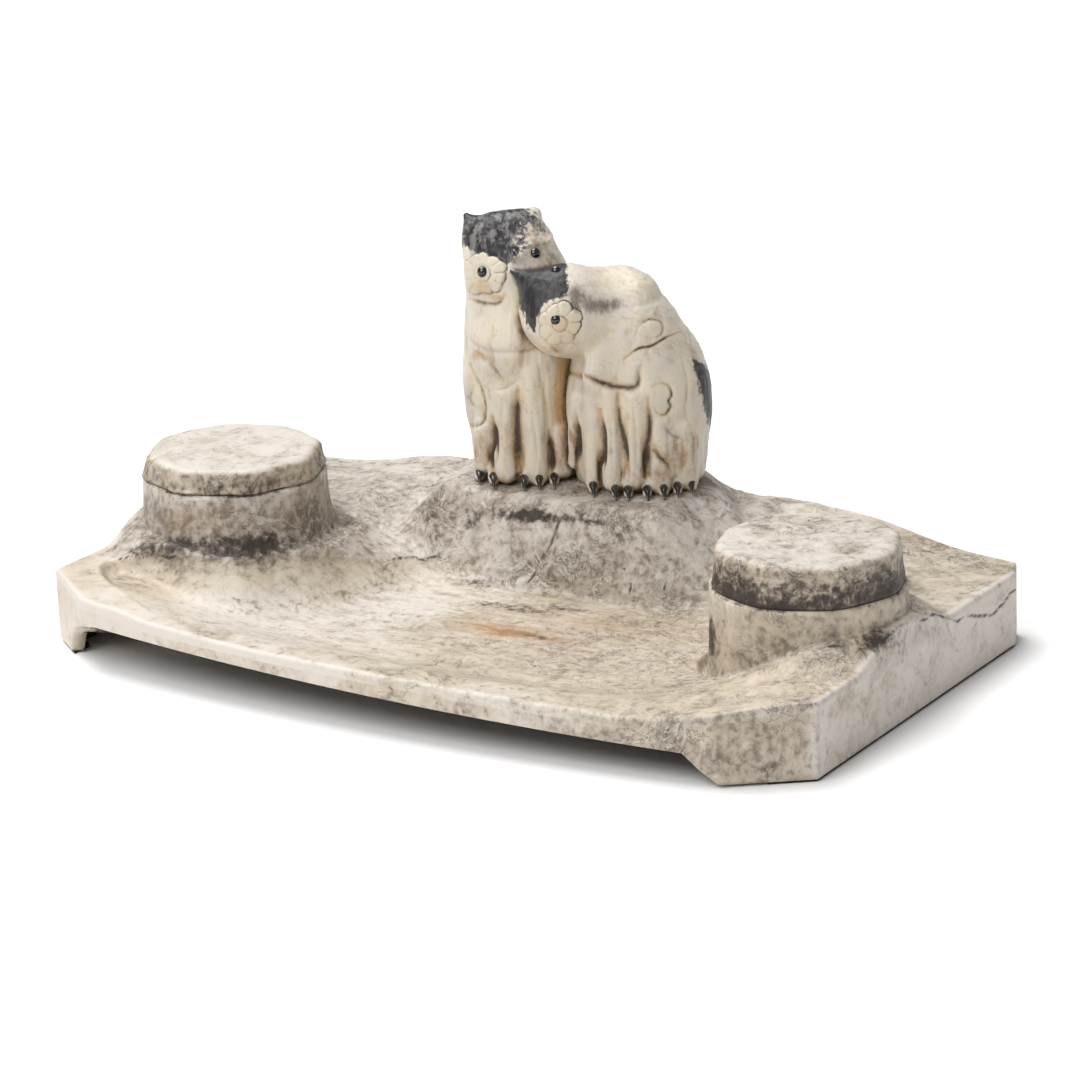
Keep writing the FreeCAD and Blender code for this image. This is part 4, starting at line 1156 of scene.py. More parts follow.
# grooves: width in pixels, depth in millimetres, how dark, and the places of the line
GROOVES = {
    "left": ((2.6, 1.8, 1, (68, 196), (67, 218), (68, 247), (70, 277)),
             (2.2, 1.8, 1, (42, 222), (44, 247), (42, 276)),
             (1.8, 1.2, 0.8, (99, 236), (102, 257), (103, 281)),
             (1.8, 0.7, 0.35, (16, 138), (22, 150), (36, 156), (51, 158), (79, 156), (93, 149)),
             (2.2, 0.8, 0.5, (21, 154), (32, 164), (42, 173), (51, 184), (54, 192)),
             (1.5, 0.7, 0.5, (43, 195), (55, 193), (68, 186)),
             (1.6, 1, 0.7, (20, 170), (26, 184), (32, 198), (35, 213), (33, 227), (22, 232), (14, 228)),
             (1.6, 0.5, 0.4, (88, 165), (93, 188), (96, 210)),
             (1.6, 0.6, 0.6, (18, 103), (32, 108), (48, 108), (57, 99)),
             (1.4, 0.5, 0.5, (24, 190), (20, 205), (27, 214)),
             (1.6, 0.5, 0.3, (54, 200), (52, 225), (53, 260)),
             (1.6, 0.5, 0.3, (82, 215), (86, 240), (88, 268))),
    "right": ((2.4, 1.6, 0.8, (118, 177), (136, 183), (154, 189), (172, 193), (187, 191), (189, 178),
               (191, 171)),
              (2, 1.4, 0.9, (126, 222), (128, 245), (126, 274)),
              (2.4, 1.8, 0.9, (150, 215), (153, 253), (150, 284)),
              (2.4, 1.8, 0.9, (168, 198), (169, 223), (174, 249), (178, 278)),
              (2.2, 1.6, 0.9, (198, 203), (200, 227), (197, 255), (195, 282)),
              (2, 1.2, 0.8, (200, 253), (209, 263), (219, 271), (221, 284)),
              (1.4, 0.7, 0.8, (202, 192), (210, 188), (219, 191), (222, 200), (219, 206), (221, 212),
               (215, 220), (207, 218), (204, 212)),
              (1.3, 0.6, 0.7, (186, 139), (190, 130), (201, 124), (212, 127), (213, 137), (205, 143),
               (199, 139)),
              (1.1, 0.5, 1, (174, 164), (188, 154), (201, 151), (215, 143), (231, 136)),
              (1.1, 0.4, 0.6, (213, 97), (227, 115), (239, 138), (243, 164)),
              (2.2, 1.2, 0.8, (101, 151), (110, 166), (118, 177)),
              (1.5, 0.6, 0.5, (231, 158), (238, 185), (236, 215), (243, 238)),
              (1.5, 0.6, 0.5, (213, 228), (222, 240), (238, 247)),
              (1.5, 0.5, 0.4, (160, 215), (161, 245), (163, 275)),
              (1.5, 0.5, 0.4, (184, 210), (186, 240), (187, 275))),
}
# stains, and dark smudges with narrow bands of painted shadow along the feet: place, radii and strength
OCHRE = {
    "left": (((110, 197), (7, 42), 0.9), ((68, 240), (6, 36), 0.7), ((28, 160), (9, 7), 0.7),
             ((49, 103), (9, 5), 0.6), ((43, 250), (5, 26), 0.6), ((97, 215), (5, 30), 0.4),
             ((20, 185), (8, 20), 0.4), ((34, 90), (16, 12), 0.55)),
    "right": (((127, 245), (6, 30), 0.6), ((152, 255), (5, 26), 0.5), ((171, 235), (5, 34), 0.5),
              ((199, 235), (6, 30), 0.6), ((208, 204), (15, 15), 0.3), ((205, 134), (14, 9), 0.45),
              ((215, 262), (20, 20), 0.3), ((108, 160), (8, 10), 0.7), ((183, 183), (12, 8), 0.4),
              ((114, 130), (18, 19), 0.5)),
}
RUST = {
    "left": (((33, 256), (11, 20), 1), ((111, 261), (12, 21), 1.2), ((117, 222), (5, 22), 0.8)),
    "right": (((228, 257), (24, 20), 0.8), ((208, 279), (18, 12), 1), ((124, 250), (5, 20), 0.8),
              ((178, 278), (7, 9), 0.6)),
}
SMUDGES_AND_SHADE = {
    "left": (((16, 205), (9, 20), 0.55), ((85, 35), (14, 20), 0.4), ((34, 277), (12, 4), 0.6),
             ((88, 50), (18, 9), 1), ((75, 63), (12, 8), 0.9), ((100, 66), (9, 9), 0.9),
             ((85, 75), (14, 5), 0.7), ((64, 66), (8, 5), 0.8), ((80, 22), (16, 14), 0.5),
             ((24, 60), (5, 4), 0.8), ((20, 94), (4, 7), 0.6), ((54, 97), (8, 5), 0.7)),
    "right": (((146, 113), (20, 11), 1), ((126, 100), (14, 10), 0.9), ((166, 109), (14, 7), 0.6),
              ((158, 188), (22, 4), 0.5), ((125, 95), (6, 10), 0.5), ((224, 157), (16, 8), 0.5),
              ((150, 287), (20, 4), 0.6), ((128, 148), (5, 8), 0.6), ((240, 280), (10, 8), 0.5),
              ((190, 160), (5, 5), 0.4), ((233, 205), (9, 20), 0.3), ((124, 112), (6, 6), 0.6),
              ((98, 146), (8, 5), 0.7)),
}
# discs of feathers around the eyes: middle, radius, number of petals and the turn of the first
DISCS = {"left": ((33.0, 79.0, 23.0, 11, 0.2),), "right": ((110.0, 128.5, 22.0, 8, 0.3),)}
DISC_RISE = 0.9
DISC_LOBE = 0.14         # how far the petals' ends are rounded, as a share of the radius
DISC_RING = 0.34         # radius of the ring around the eye, as a share
DISC_FURROW = 0.8        # depth of the furrows inside a disc, against its outline
# charcoal crowns, and the black wing tip of the right owl
CROWNS = {
    "left": ((11, 8), (11, 52), (24, 56), (34, 66), (40, 74), (50, 77), (59, 68), (71, 57), (83, 50),
             (97, 45), (97, 8)),
    "right": ((59, 76), (66, 71), (79, 69), (99, 66), (117, 67), (119, 87), (116, 99), (111, 104),
              (99, 107), (91, 113), (87, 122), (85, 139), (78, 129), (69, 112), (61, 87)),
}
CROWN_THIN = {"left": 36.0, "right": 300.0}      # to the right of this the crown is broken up
CROWN_FADE = 55.0
CROWN_DEPTH = 3.0        # of the full charcoal
CROWN_BROKEN = -0.6      # and where it is broken up
TIP_LIMIT = 9.0          # the wing tip's black ends where the skin turns away from the viewer
TIP_BACK = (0.45, 0.4)
CROWN_ASH = {"left": 0.62, "right": 0.12}         # share of lighter streaks
WING_TIP = ((243, 164), (256, 170), (276, 200), (276, 236), (263, 243), (256, 222), (249, 192))
HEAD_REACH = 27.0        # the crowns end this far from the middle of the head
# the right owl's neck, which lies along its back: out of the head's middle to this place in the view, and
# its radius
NECK = ((22.5, -0.2, -9.0), 18.6)
NECK_START = 14.5        # its radius in the head
NECK_FILLET = 10.5
AHEAD = np.array([TOWARDS[0], TOWARDS[1], 0.0]) / np.hypot(TOWARDS[0], TOWARDS[1])
ASIDE = np.array([-AHEAD[1], AHEAD[0], 0.0])


def view_pixels(points):
    """Pixels of the view's frame where points are seen, from the corner of the owls' drawing."""
    local = (points - np.array(VIEW_PLACE)) @ np.array([RIGHT, UP, TOWARDS]).T
    seen = np.stack([-local[:, 0], local[:, 1]], -1) / local[:, 2:]
    return VIEW_FRAME / 2 + VIEW_FOCUS * seen - np.array(OWL_CORNER)


def spots(pixels, marks):
    """Sum of soft oval spots on the drawing."""
    reach = [(pixels - np.array(place)) / np.array(radii) for place, radii, _ in marks]
    return sum(mark[2] * np.exp(-(r * r).sum(axis=1)) for mark, r in zip(marks, reach))


def within(pixels, outline):
    """Distance inside a closed outline of the drawing, in millimetres; negative outside it."""
    corners = np.array(outline + outline[:1], float)
    gap = np.abs(beside(*pixels.T, corners)[0]) / OWL_SCALE
    start, end = corners[:-1], corners[1:]
    x, y = pixels[:, :1], pixels[:, 1:]
    cross = (start[:, 1] > y) != (end[:, 1] > y)
    climb = np.where(end[:, 1] == start[:, 1], 1.0, end[:, 1] - start[:, 1])
    left = x < start[:, 0] + (y - start[:, 1]) / climb * (end[:, 0] - start[:, 0])
    return np.where((cross & left).sum(axis=1) % 2 == 1, gap, -gap)


def disc_marks(pixels, side):
    """Shares of the discs of feathers, and of the furrows around them and between their petals."""
    disc = np.zeros(len(pixels))
    furrow = np.zeros(len(pixels))
    for x, y, radius, petals, first in DISCS[side]:
        away = pixels - np.array([x, y])
        gap = np.hypot(*away.T)
        turn = np.arctan2(away[:, 1], away[:, 0])
        petal = np.abs(np.cos(petals / 2 * (turn - first)))
        uneven = 0.97 + 0.07 * np.sin(2 * turn + x) + 0.05 * np.sin(5 * turn + y)
        edge = radius * (1.0 - DISC_LOBE + DISC_LOBE * np.sqrt(petal)) * uneven
        disc = np.maximum(disc, fade((gap - edge + 1.2) / 2.0))
        line = fade(np.abs(gap - edge - 0.8) / 2.2)
        outer = rise(gap / radius, 0.35, 0.2) * fade((gap - edge) / 1.5)
        between = DISC_FURROW * fade(petal / 0.45) * outer
        ring = DISC_FURROW * fade(np.abs(gap - DISC_RING * radius) / (0.12 * radius))
        furrow = np.max([furrow, line, between, ring], axis=0)
    return np.array([disc, furrow])


def spline(at, knots, values):
    """Smooth curve through values at knots, level beyond the ends."""
    slopes = np.gradient(values, knots)
    at = np.clip(at, knots[0], knots[-1])
    i = np.clip(np.searchsorted(knots, at, side="right") - 1, 0, len(knots) - 2)
    step = knots[i + 1] - knots[i]
    t = (at - knots[i]) / step
    ends = values[i] * (1 + 2 * t) * (1 - t) ** 2 + values[i + 1] * t * t * (3 - 2 * t)
    return ends + step * (slopes[i] * t * (1 - t) ** 2 + slopes[i + 1] * t * t * (t - 1))


def rod(points, start, end, start_radius, end_radius):
    """Distance from a tapering rod with round ends."""
    along = np.asarray(end) - start
    part = np.clip((points - start) @ along / (along @ along), 0.0, 1.0)
    away = np.linalg.norm(points - start - part[:, None] * along, axis=1)
    return away - mix(start_radius, end_radius, part)


def egg(points, centre, axes, radii):
    """Distance from an ellipsoid whose axes are the rows given."""
    local = (points - centre) @ np.transpose(axes)
    inner = np.linalg.norm(local / radii, axis=1)
    return inner * (inner - 1.0) / np.maximum(np.linalg.norm(local / np.square(radii), axis=1), 1e-6)


def head_axes(owl):
    """Across, up and out directions of a head, rolled in the view."""
    roll = np.radians(owl.roll)
    return np.array([np.cos(roll) * RIGHT + np.sin(roll) * UP, np.cos(roll) * UP - np.sin(roll) * RIGHT,
                     TOWARDS])


def in_view(owl, places):
    """Points of the world from across, up and out places around a head."""
    return np.asarray(owl.head) + np.asarray(places) @ np.array([RIGHT, UP, TOWARDS])


def head_field(owl, points):
    """Distance from a head: a squared-off ball with two ear tufts."""
    local = np.abs((points - owl.head) @ head_axes(owl).T) / owl.head_size
    field = ((local ** owl.square).sum(axis=1) ** (1.0 / owl.square) - 1.0) * min(owl.head_size)
    for start, end, wide, narrow in owl.ears:
        ear = rod(points, in_view(owl, start), in_view(owl, end), wide, narrow)
        field = join(field, ear, FILLETS["ear"])
    return field


def trunk_field(owl, points):
    """Distance from a trunk: oval sections stacked up from the stand."""
    turn = np.radians(owl.turn)
    x = points[:, 0] - owl.stand[0]
    y = points[:, 1] - owl.stand[1]
    height = points[:, 2] - SEAT_HEIGHT
    knots, *columns = np.array(owl.trunk).T
    forward, half_width, half_depth = (spline(height, knots, column) for column in columns)
    across = np.cos(turn) * x + np.sin(turn) * y
    back = np.cos(turn) * y - np.sin(turn) * x + forward
    side = (np.hypot(across / half_width, back / half_depth) - 1.0) * np.minimum(half_width, half_depth)
    return np.maximum(side, np.maximum(knots[0] - height, height - knots[-1]))


def meet(field, start, way, reach):
    """Where a line that comes in from outside meets a surface, by steps of its distance field."""
    place = np.asarray(start, float) + reach * way
    for _ in range(60):
        place = place - 0.7 * field(place[None])[0] * way
    return place


def on_trunk(owl, bearing, height):
    """Point of a trunk's side at a bearing from the viewer and a height."""
    angle = np.radians(bearing)
    way = np.cos(angle) * AHEAD + np.sin(angle) * ASIDE
    return meet(lambda p: trunk_field(owl, p), (*owl.stand, height), way, FAR_OUT), way


def on_front(owl, across, height):
    """Point of a trunk's front at a place across the view and a height."""
    start = np.array([*owl.stand, height]) + across * ASIDE
    return meet(lambda p: trunk_field(owl, p), start, AHEAD, FAR_OUT)


def owl_wings(owl):
    """Wings of an owl as fields with their fillets, and the axes of the last one: along, across and out."""
    wings = []
    for shoulder, high, tip, low, half_width in owl.wings:
        top, _ = on_trunk(owl, shoulder, high)
        bottom, _ = on_trunk(owl, tip, low)
        middle, out = on_trunk(owl, (shoulder + tip) / 2, (high + low) / 2)
        along = (bottom - top) / np.linalg.norm(bottom - top)
        out = out - (out @ along) * along
        out /= np.linalg.norm(out)
        axes = np.array([along, np.cross(along, out), out])
        size = (np.linalg.norm(bottom - top) / 2, half_width, WING_DEPTH)
        middle = middle - WING_SINK * out
        wings.append((lambda p, c=middle, a=axes, s=size: egg(p, c, a, s), FILLETS["wing"]))
    return wings, axes


def owl_parts(owl):
    """Fixed parts of an owl's field, worked out once: rods and eggs, each as a field and its fillet."""
    parts = []
    for across, low, high, radius in owl.lobes:
        start = on_front(owl, across, low + LOBE_ROOT) - LOBE_SINK[0] * radius * AHEAD
        start[2] = low
        end = on_front(owl, across * LOBE_DRAW, high) - LOBE_SINK[1] * radius * AHEAD
        parts.append((lambda p, a=start, b=end, r=radius: rod(p, a, b, r * LOBE_FOOT, r), FILLETS["lobe"]))
    wings, axes = owl_wings(owl)
    for across, height, half_width, half_height in owl.swells:
        # the swellings lie the way the last wing does
        middle = on_front(owl, across, height) - SWELL_SINK * AHEAD
        size = (half_width, half_height, SWELL_DEPTH)
        parts.append((lambda p, c=middle, s=size: egg(p, c, axes, s), FILLETS["swell"]))
    parts += wings
    tail_top, back = on_trunk(owl, 180.0 + owl.turn - VIEW_BEARING, TAIL_START)
    tail_middle = np.array([*(tail_top + TAIL_OUT * back)[:2], SEAT_HEIGHT + TAIL_MIDDLE])
    tail_axes = np.array([np.cross(back, (0.0, 0.0, 1.0)), (0.0, 0.0, 1.0), back])
    parts.append((lambda p: egg(p, tail_middle, tail_axes, TAIL_SIZE), FILLETS["tail"]))
    for place in owl.claws:
        foot = on_front(owl, place, SEAT_HEIGHT + CLAW_ROOT)
        toe = foot + TOE_OUT * AHEAD
        start, end = foot - TOE_SINK * AHEAD, np.array([*toe[:2], SEAT_HEIGHT + TOE_HEIGHT])
        parts.append((lambda p, a=start, b=end: rod(p, a, b, *TOE_RADII), FILLETS["toe"]))
    beak = [meet(lambda p: head_field(owl, p), in_view(owl, (*place, 0.0)), TOWARDS, BEAK_REACH)
            for place in owl.beak]
    parts.append((lambda p: rod(p, beak[0], beak[1] + BEAK_OUT * TOWARDS, *BEAK_RADII), FILLETS["beak"]))
    return parts


def owl_field(owl, parts, points):
    """Distance from a whole owl."""
    field = join(trunk_field(owl, points), head_field(owl, points), FILLETS["head"])
    if owl is OWLS["right"]:
        field = join(field, rod(points, np.array(owl.head), in_view(owl, NECK[0]), NECK_START, NECK[1]),
                     NECK_FILLET)
    for part, fillet in parts:
        field = join(field, part(points), fillet)
    return np.maximum(field, SEAT_HEIGHT - OWL_SINK - points[:, 2])


def skin(field, low, high, step):
    """Closed surface where a distance field is zero, as a surface net: one point in each cell of a grid
    that the surface crosses, at the mean of the crossings on the cell's edges, and one square for each
    crossed edge."""
    axes = [np.arange(a, b + step, step) for a, b in zip(low, high)]
    grid = np.stack(np.meshgrid(*axes, indexing="ij"), -1)
    value = field(grid.reshape(-1, 3)).reshape(grid.shape[:3])
    inside = value < 0.0
    cells = tuple(n - 1 for n in inside.shape)
    total = np.zeros(cells + (3,))
    count = np.zeros(cells)
    edges = []
    for axis in range(3):
        near = tuple(slice(None, -1) if k == axis else slice(None) for k in range(3))
        far = tuple(slice(1, None) if k == axis else slice(None) for k in range(3))
        crossed = inside[near] != inside[far]
        part = np.where(crossed, value[near] / np.where(crossed, value[near] - value[far], 1.0), 0.0)
        place = (grid[near] + part[..., None] * (grid[far] - grid[near])) * crossed[..., None]
        sides = [k for k in range(3) if k != axis]
        for shift in np.ndindex(2, 2):
            pick = [slice(None)] * 3
            for k, s in zip(sides, shift):
                pick[k] = slice(s, s + cells[k])
            total += place[tuple(pick)]
            count += crossed[tuple(pick)]
        edges.append((np.argwhere(crossed), inside[near][crossed], np.eye(3, dtype=int)[sides]))
    number = np.full(cells, -1)
    used = count > 0
    number[used] = np.arange(used.sum())
    faces = []
    for axis, (place, outward, (first, second)) in enumerate(edges):
        around = [place - first - second, place - second, place, place - first]
        squares = np.stack([number[tuple(c.T)] for c in around], -1)
        turned = outward == (axis == 1)
        squares[turned] = squares[turned][:, ::-1]
        faces.append(squares)
    return total[used] / count[used][:, None], np.concatenate(faces)


def slope(field, points, step=0.4):
    """Outward direction of a distance field at each point."""
    shifts = step * np.eye(3)
    grown = np.stack([field(points + s) - field(points - s) for s in shifts], -1)
    return grown / np.maximum(np.linalg.norm(grown, axis=1, keepdims=True), 1e-9)


QUILL_LENGTH = 8.0       # of the feathers on the backs
QUILL_WIDTH = 9.0
QUILL_BOW = 1.6          # how far their tips are bowed
QUILL_RISE = 0.7
GROOVE_STEPS = 5         # pieces to each run of a groove, smoothed through its places
GROOVE_END = 0.3         # share of a groove's length over which it thins out at each end
GROOVE_SPREAD = 1.6      # breadth of a groove's sides, in its widths
GROOVE_DEPTH = 1.1
GROOVE_HALO = 2.6        # and of the stain beside it
GROOVE_THIN = 0.55       # share of a groove's width at its ends
GROOVE_FAINT = 0.35      # and of its depth
FURROW_DEPTH = 0.45      # of the discs
STRAND_RISE = 0.16
LUMP_RISE = 0.55
FACING = (0.05, 0.3)     # how far skin has to face the viewer to be drawn on
QUILL_BACK = (-0.05, 0.3)    # and away from the viewer for the feathers of the back
QUILL_TOP = (-12.0, 10.0)    # they end here, from the head's middle
QUILL_FOOT = (2.0, 6.0)      # and start here, from the seat
SHOULDER_TURN = 0.47     # lean of the strands on the right owl's shoulder, in the view
# where that shoulder ends below and starts on the left, in pixels, and how far the strands take to come in
SHOULDER_LOW = (160.0, 40.0)
SHOULDER_LEFT = (112.0, 16.0)
STRAND_GRAIN = 3.4
SLANT_GRAIN = 1.7
LUMP_GRAIN = 9.0


def quills(owl, points):
    """Place on the overlapping feathers of a back, from 0 at each feather's tip to 1 at the next row's."""
    x, y = points[:, 0] - owl.stand[0], points[:, 1] - owl.stand[1]
    row = (points[:, 2] - SEAT_HEIGHT) / QUILL_LENGTH
    column = np.arctan2(y, x) * owl.trunk[3][2] / QUILL_WIDTH
    lift = []
    for shift in (0.0, 0.5):
        across = np.abs((column + shift) % 1.0 - 0.5)
        lift.append((row / 2 + shift - QUILL_BOW * across * across) % 1.0)
    return np.minimum(*lift) * 2.0


def feathers(side, points, pixels):
    """Relief of the plumage from -1 to 1: strands that run down the body, slanting on the right owl's
    shoulder, and soft lumps."""
    strand = fractal(points * np.array([1.0, 1.0, 0.3]), STRAND_GRAIN, 2, 41)
    if side == "right":
        x, y = pixels.T / OWL_SCALE
        along = x * np.cos(SHOULDER_TURN) + y * np.sin(SHOULDER_TURN)
        across = y * np.cos(SHOULDER_TURN) - x * np.sin(SHOULDER_TURN)
        slanting = fractal(np.stack([0.3 * along, across, 0.0 * across], -1), SLANT_GRAIN, 2, 43)
        on_shoulder = fall(pixels[:, 1], *SHOULDER_LOW) * rise(pixels[:, 0], *SHOULDER_LEFT)
        strand = mix(strand, slanting, on_shoulder)
    lump = noise(points * np.array([1.0, 1.0, 0.6]), LUMP_GRAIN, 47)
    return np.clip(0.8 - 2.2 * np.abs(strand), -1.0, 1.0), lump


def recesses(points, out, fields):
    """How deep each point lies in a recess of the group, from 0 to 1."""
    total = np.zeros(len(points))
    for reach, weight in RECESS_REACH:
        probe = points + reach * out
        group = np.minimum(*(field(probe) for field in fields.values()))
        total += weight * np.clip(1.0 - np.minimum(group, probe[:, 2] - SEAT_HEIGHT) / reach, 0.0, 1.0)
    return total


def groove_marks(side, pixels, facing):
    """Shares of the grooves, for their painted shade, and of the ochre beside them, partly stain and partly
    painted shade, and how deep the grooves are cut.
    """
    groove = np.zeros(len(pixels))
    halo = np.zeros(len(pixels))
    depth = np.zeros(len(pixels))
    for width, deep, share, *line in GROOVES[side]:
        last = len(line) - 1
        steps = np.linspace(0.0, last, GROOVE_STEPS * last + 1)
        curve = np.stack([spline(steps, np.arange(last + 1), axis) for axis in np.array(line, float).T], -1)
        gap, along = beside(*pixels.T, curve)
        from_end = np.minimum(along, GROOVE_STEPS * last - along) / (GROOVE_STEPS * last)
        full = ease(from_end / GROOVE_END)
        width = width * mix(GROOVE_THIN, 1.0, full)
        near = np.exp(-np.abs(gap / (GROOVE_SPREAD * width)) ** 1.5) * facing * mix(GROOVE_FAINT, 1.0, full)
        groove = np.maximum(groove, share * near)
        halo = np.maximum(halo, share * np.exp(-(gap / (GROOVE_HALO * width)) ** 2) * facing)
        depth = np.maximum(depth, GROOVE_DEPTH * deep * near)
    return groove, halo, depth


def crown_marks(side, pixels, from_head, disc, away):
    """Distance inside the charcoal of a crown, in millimetres: thinned to one side, clear of the disc, and
    with the black wing tip of the right owl."""
    crown = np.minimum(within(pixels, CROWNS[side]), HEAD_REACH - from_head)
    thinned = mix(CROWN_DEPTH, CROWN_BROKEN, rise(pixels[:, 0], CROWN_THIN[side], CROWN_FADE))
    crown = np.min([crown, thinned, CROWN_DEPTH * (1.0 - 2.0 * disc)], axis=0)
    if side == "right":
        crown = np.maximum(crown, within(pixels, WING_TIP) - TIP_LIMIT * rise(away, *TIP_BACK))
    return crown


def owl_marks(side, points, out, fields):
    """Attributes of an owl's points, and how far each is pushed out by its grooves, discs and feathers."""
    owl = OWLS[side]
    pixels = view_pixels(points)
    towards = out @ TOWARDS
    height = points[:, 2] - SEAT_HEIGHT
    facing = rise(towards, *FACING)
    groove, halo, depth = groove_marks(side, pixels, facing)
    from_head = np.linalg.norm(points - owl.head, axis=1)
    disc, furrow = disc_marks(pixels, side) * facing * fall(from_head, HEAD_REACH - 3.0, 3.0)
    strand, lump = feathers(side, points, pixels)
    quill = quills(owl, points)
    below_head = fall(points[:, 2] - owl.head[2], *QUILL_TOP)
    behind = rise(-towards, *QUILL_BACK) * below_head * rise(height, *QUILL_FOOT)
    push = DISC_RISE * disc - FURROW_DEPTH * furrow - depth
    push += (1.0 - disc) * (STRAND_RISE * strand + LUMP_RISE * lump) + QUILL_RISE * behind * (0.5 - quill)
    # painted shade in the grooves, along the edges of the back's feathers and in the discs' furrows
    groove = np.max([groove, 0.5 * behind * fade(quill / 0.22), furrow * (0.6 + 0.5 * lump)], axis=0)
    stains_and_shade = {key: spots(pixels, table[side]) * facing
              for key, table in (("ochre", OCHRE), ("rust", RUST), ("smudge_and_shade", SMUDGES_AND_SHADE))}
    # ochre beside the grooves: stain, and painted shade on the sides of the lobes
    stains_and_shade["ochre"] = np.maximum(stains_and_shade["ochre"], 0.75 * halo)
    # painted shadow along the feet, darkest where they meet the seat
    stains_and_shade["smudge_and_shade"] += 0.7 * fade(height / 3.5)
    marks = {"recess": recesses(points, out, fields), "disc": disc, "strand": 0.5 + 0.5 * strand,
             "groove": groove, "crown": crown_marks(side, pixels, from_head, disc, -towards),
             "ash": np.full(len(points), CROWN_ASH[side]), **stains_and_shade}
    return marks, push


def owl_ceramic(settings, tray):
    """Glazed ivory plumage: ochre and brown where it is stained, ochre, umber and near black painted as
    shade where it lies deep and in the grooves, yellowish discs, charcoal crowns with mottled edges."""
    paint = Paint("owl_glaze")
    flat = paint.stretched((1.0, 1.0, 1.0))
    tall = paint.stretched((1.0, 1.0, 0.28))
    tone = paint.noise(flat, 0.07, 5.0, 0.6)
    streak = paint.noise(tall, 0.5, 5.0, 0.68, 0.4)
    fine = paint.noise(flat, 0.55, 5.0, 0.65)
    recess = paint.attribute("recess")
    mottle = tone * 0.4 + streak * 0.35 + fine * 0.25
    colour = paint.blend(settings.ivory, tray.pale, tone.step(0.4, 0.62) * 0.8)
    strand = paint.attribute("strand")
    plume = paint.noise(paint.warped(paint.stretched((1.0, 1.0, 0.4)), 0.08, 5.0), 0.2, 4.0, 0.6)
    shadow = plume * 0.7 + fine * 0.3 + (0.5 - strand) * 0.16
    colour = paint.blend(colour, settings.ochre, shadow.step(0.49, 0.72) * 0.45)
    colour = paint.blend(colour, tray.grey, (tone * 0.5 + plume * 0.5).step(0.53, 0.7) * 0.4)
    colour = paint.blend(colour, settings.disc, paint.attribute("disc") * 0.55)
    # ochre stain, with painted shade where the skin lies in a recess
    ochre = paint.attribute("ochre") * (mottle + 0.5) + (recess - 0.15) * 0.8
    colour = paint.blend(colour, settings.ochre, ochre.step(0.15, 0.85) * 0.85)
    rust = paint.attribute("rust") * 0.6 + (shadow - 0.5) * 2.0
    rust = (rust * paint.attribute("rust").step(0.0, 0.3)).step(0.1, 0.75)
    colour = paint.blend(colour, tray.rust, rust * 0.8)
    # dark smudges, and the painted shadow along the feet, in umber
    smudge_and_shade = (paint.attribute("smudge_and_shade") * 0.62 + (mottle - 0.5) * 2.2).step(0.25, 0.9)
    colour = paint.blend(colour, tray.umber, smudge_and_shade * 0.8)
    # painted shade: umber, then near black, in the grooves and recesses
    depth = (paint.attribute("groove") * 0.8 + recess * 0.55 + (mottle - 0.5) * 1.3).step(0.24, 0.75)
    colour = paint.blend(colour, tray.umber, depth * 0.9)
    colour = paint.blend(colour, tray.dark, depth * 1.3 - 0.75)
    crack = abs(paint.noise(paint.warped(flat, 0.05, 8.0), 0.035, 4.0, 0.6, 1.0) - 0.5).step(0.007, 0.0)
    colour = paint.blend(colour, tray.dark, crack * tone.step(0.6, 0.45) * 0.2)
    crown = paint.attribute("crown") + (fine - 0.5) * 4.0 + (streak - 0.5) * 3.0 + (tone - 0.5) * 6.0
    ash = (fine * 0.15 + plume * 0.4 + streak * 0.45).step(0.47, 0.57) * paint.attribute("ash")
    shade = paint.blend(settings.crown, settings.ash, ash)
    colour = paint.blend(colour, shade, crown.step(-0.4, 0.7))
    height = streak * 0.55 + fine * 0.45
    return paint.finish({"Base Color": colour, "Roughness": 0.34 + fine * 0.18,
                         "Normal": paint.bump(height, 0.4), "Specular IOR Level": 0.35,
                         "Coat Weight": 0.05, "Coat Roughness": 0.22})


def claw_surface(owl):
    """Points and faces of an owl's claws: each a run of rings that thins as it curves forward and down."""
    t = np.linspace(0.0, 1.0, CLAW_RINGS)[:, None]
    angle = np.linspace(0.0, 2 * np.pi, CLAW_SIDES, endpoint=False)
    around = np.cos(angle)[:, None] * ASIDE + np.sin(angle)[:, None] * np.array([0.0, 0.0, 1.0])
    points = []
    faces = []
    for place in owl.claws:
        foot = on_front(owl, place, SEAT_HEIGHT + CLAW_ROOT) + CLAW_OUT * AHEAD
        base = np.array([foot[0], foot[1], SEAT_HEIGHT + CLAW_HEIGHT])
        drop = np.array([0.0, 0.0, 1.0]) * (CLAW_ARCH * np.sin(np.pi * t) - CLAW_DROP * t)
        path = base + CLAW_LENGTH * t * AHEAD + drop
        ring = path[:, None] + (CLAW_RADIUS * (1.0 - CLAW_TAPER * t ** 1.5))[:, None] * around
        start = len(points) * CLAW_RINGS * CLAW_SIDES
        faces += grid_faces(CLAW_RINGS, CLAW_SIDES, start, wrap=True)
        last = start + (CLAW_RINGS - 1) * CLAW_SIDES
        faces += [list(range(start + CLAW_SIDES - 1, start - 1, -1)), list(range(last, last + CLAW_SIDES))]
        points.append(ring.reshape(-1, 3))
    return np.concatenate(points), faces


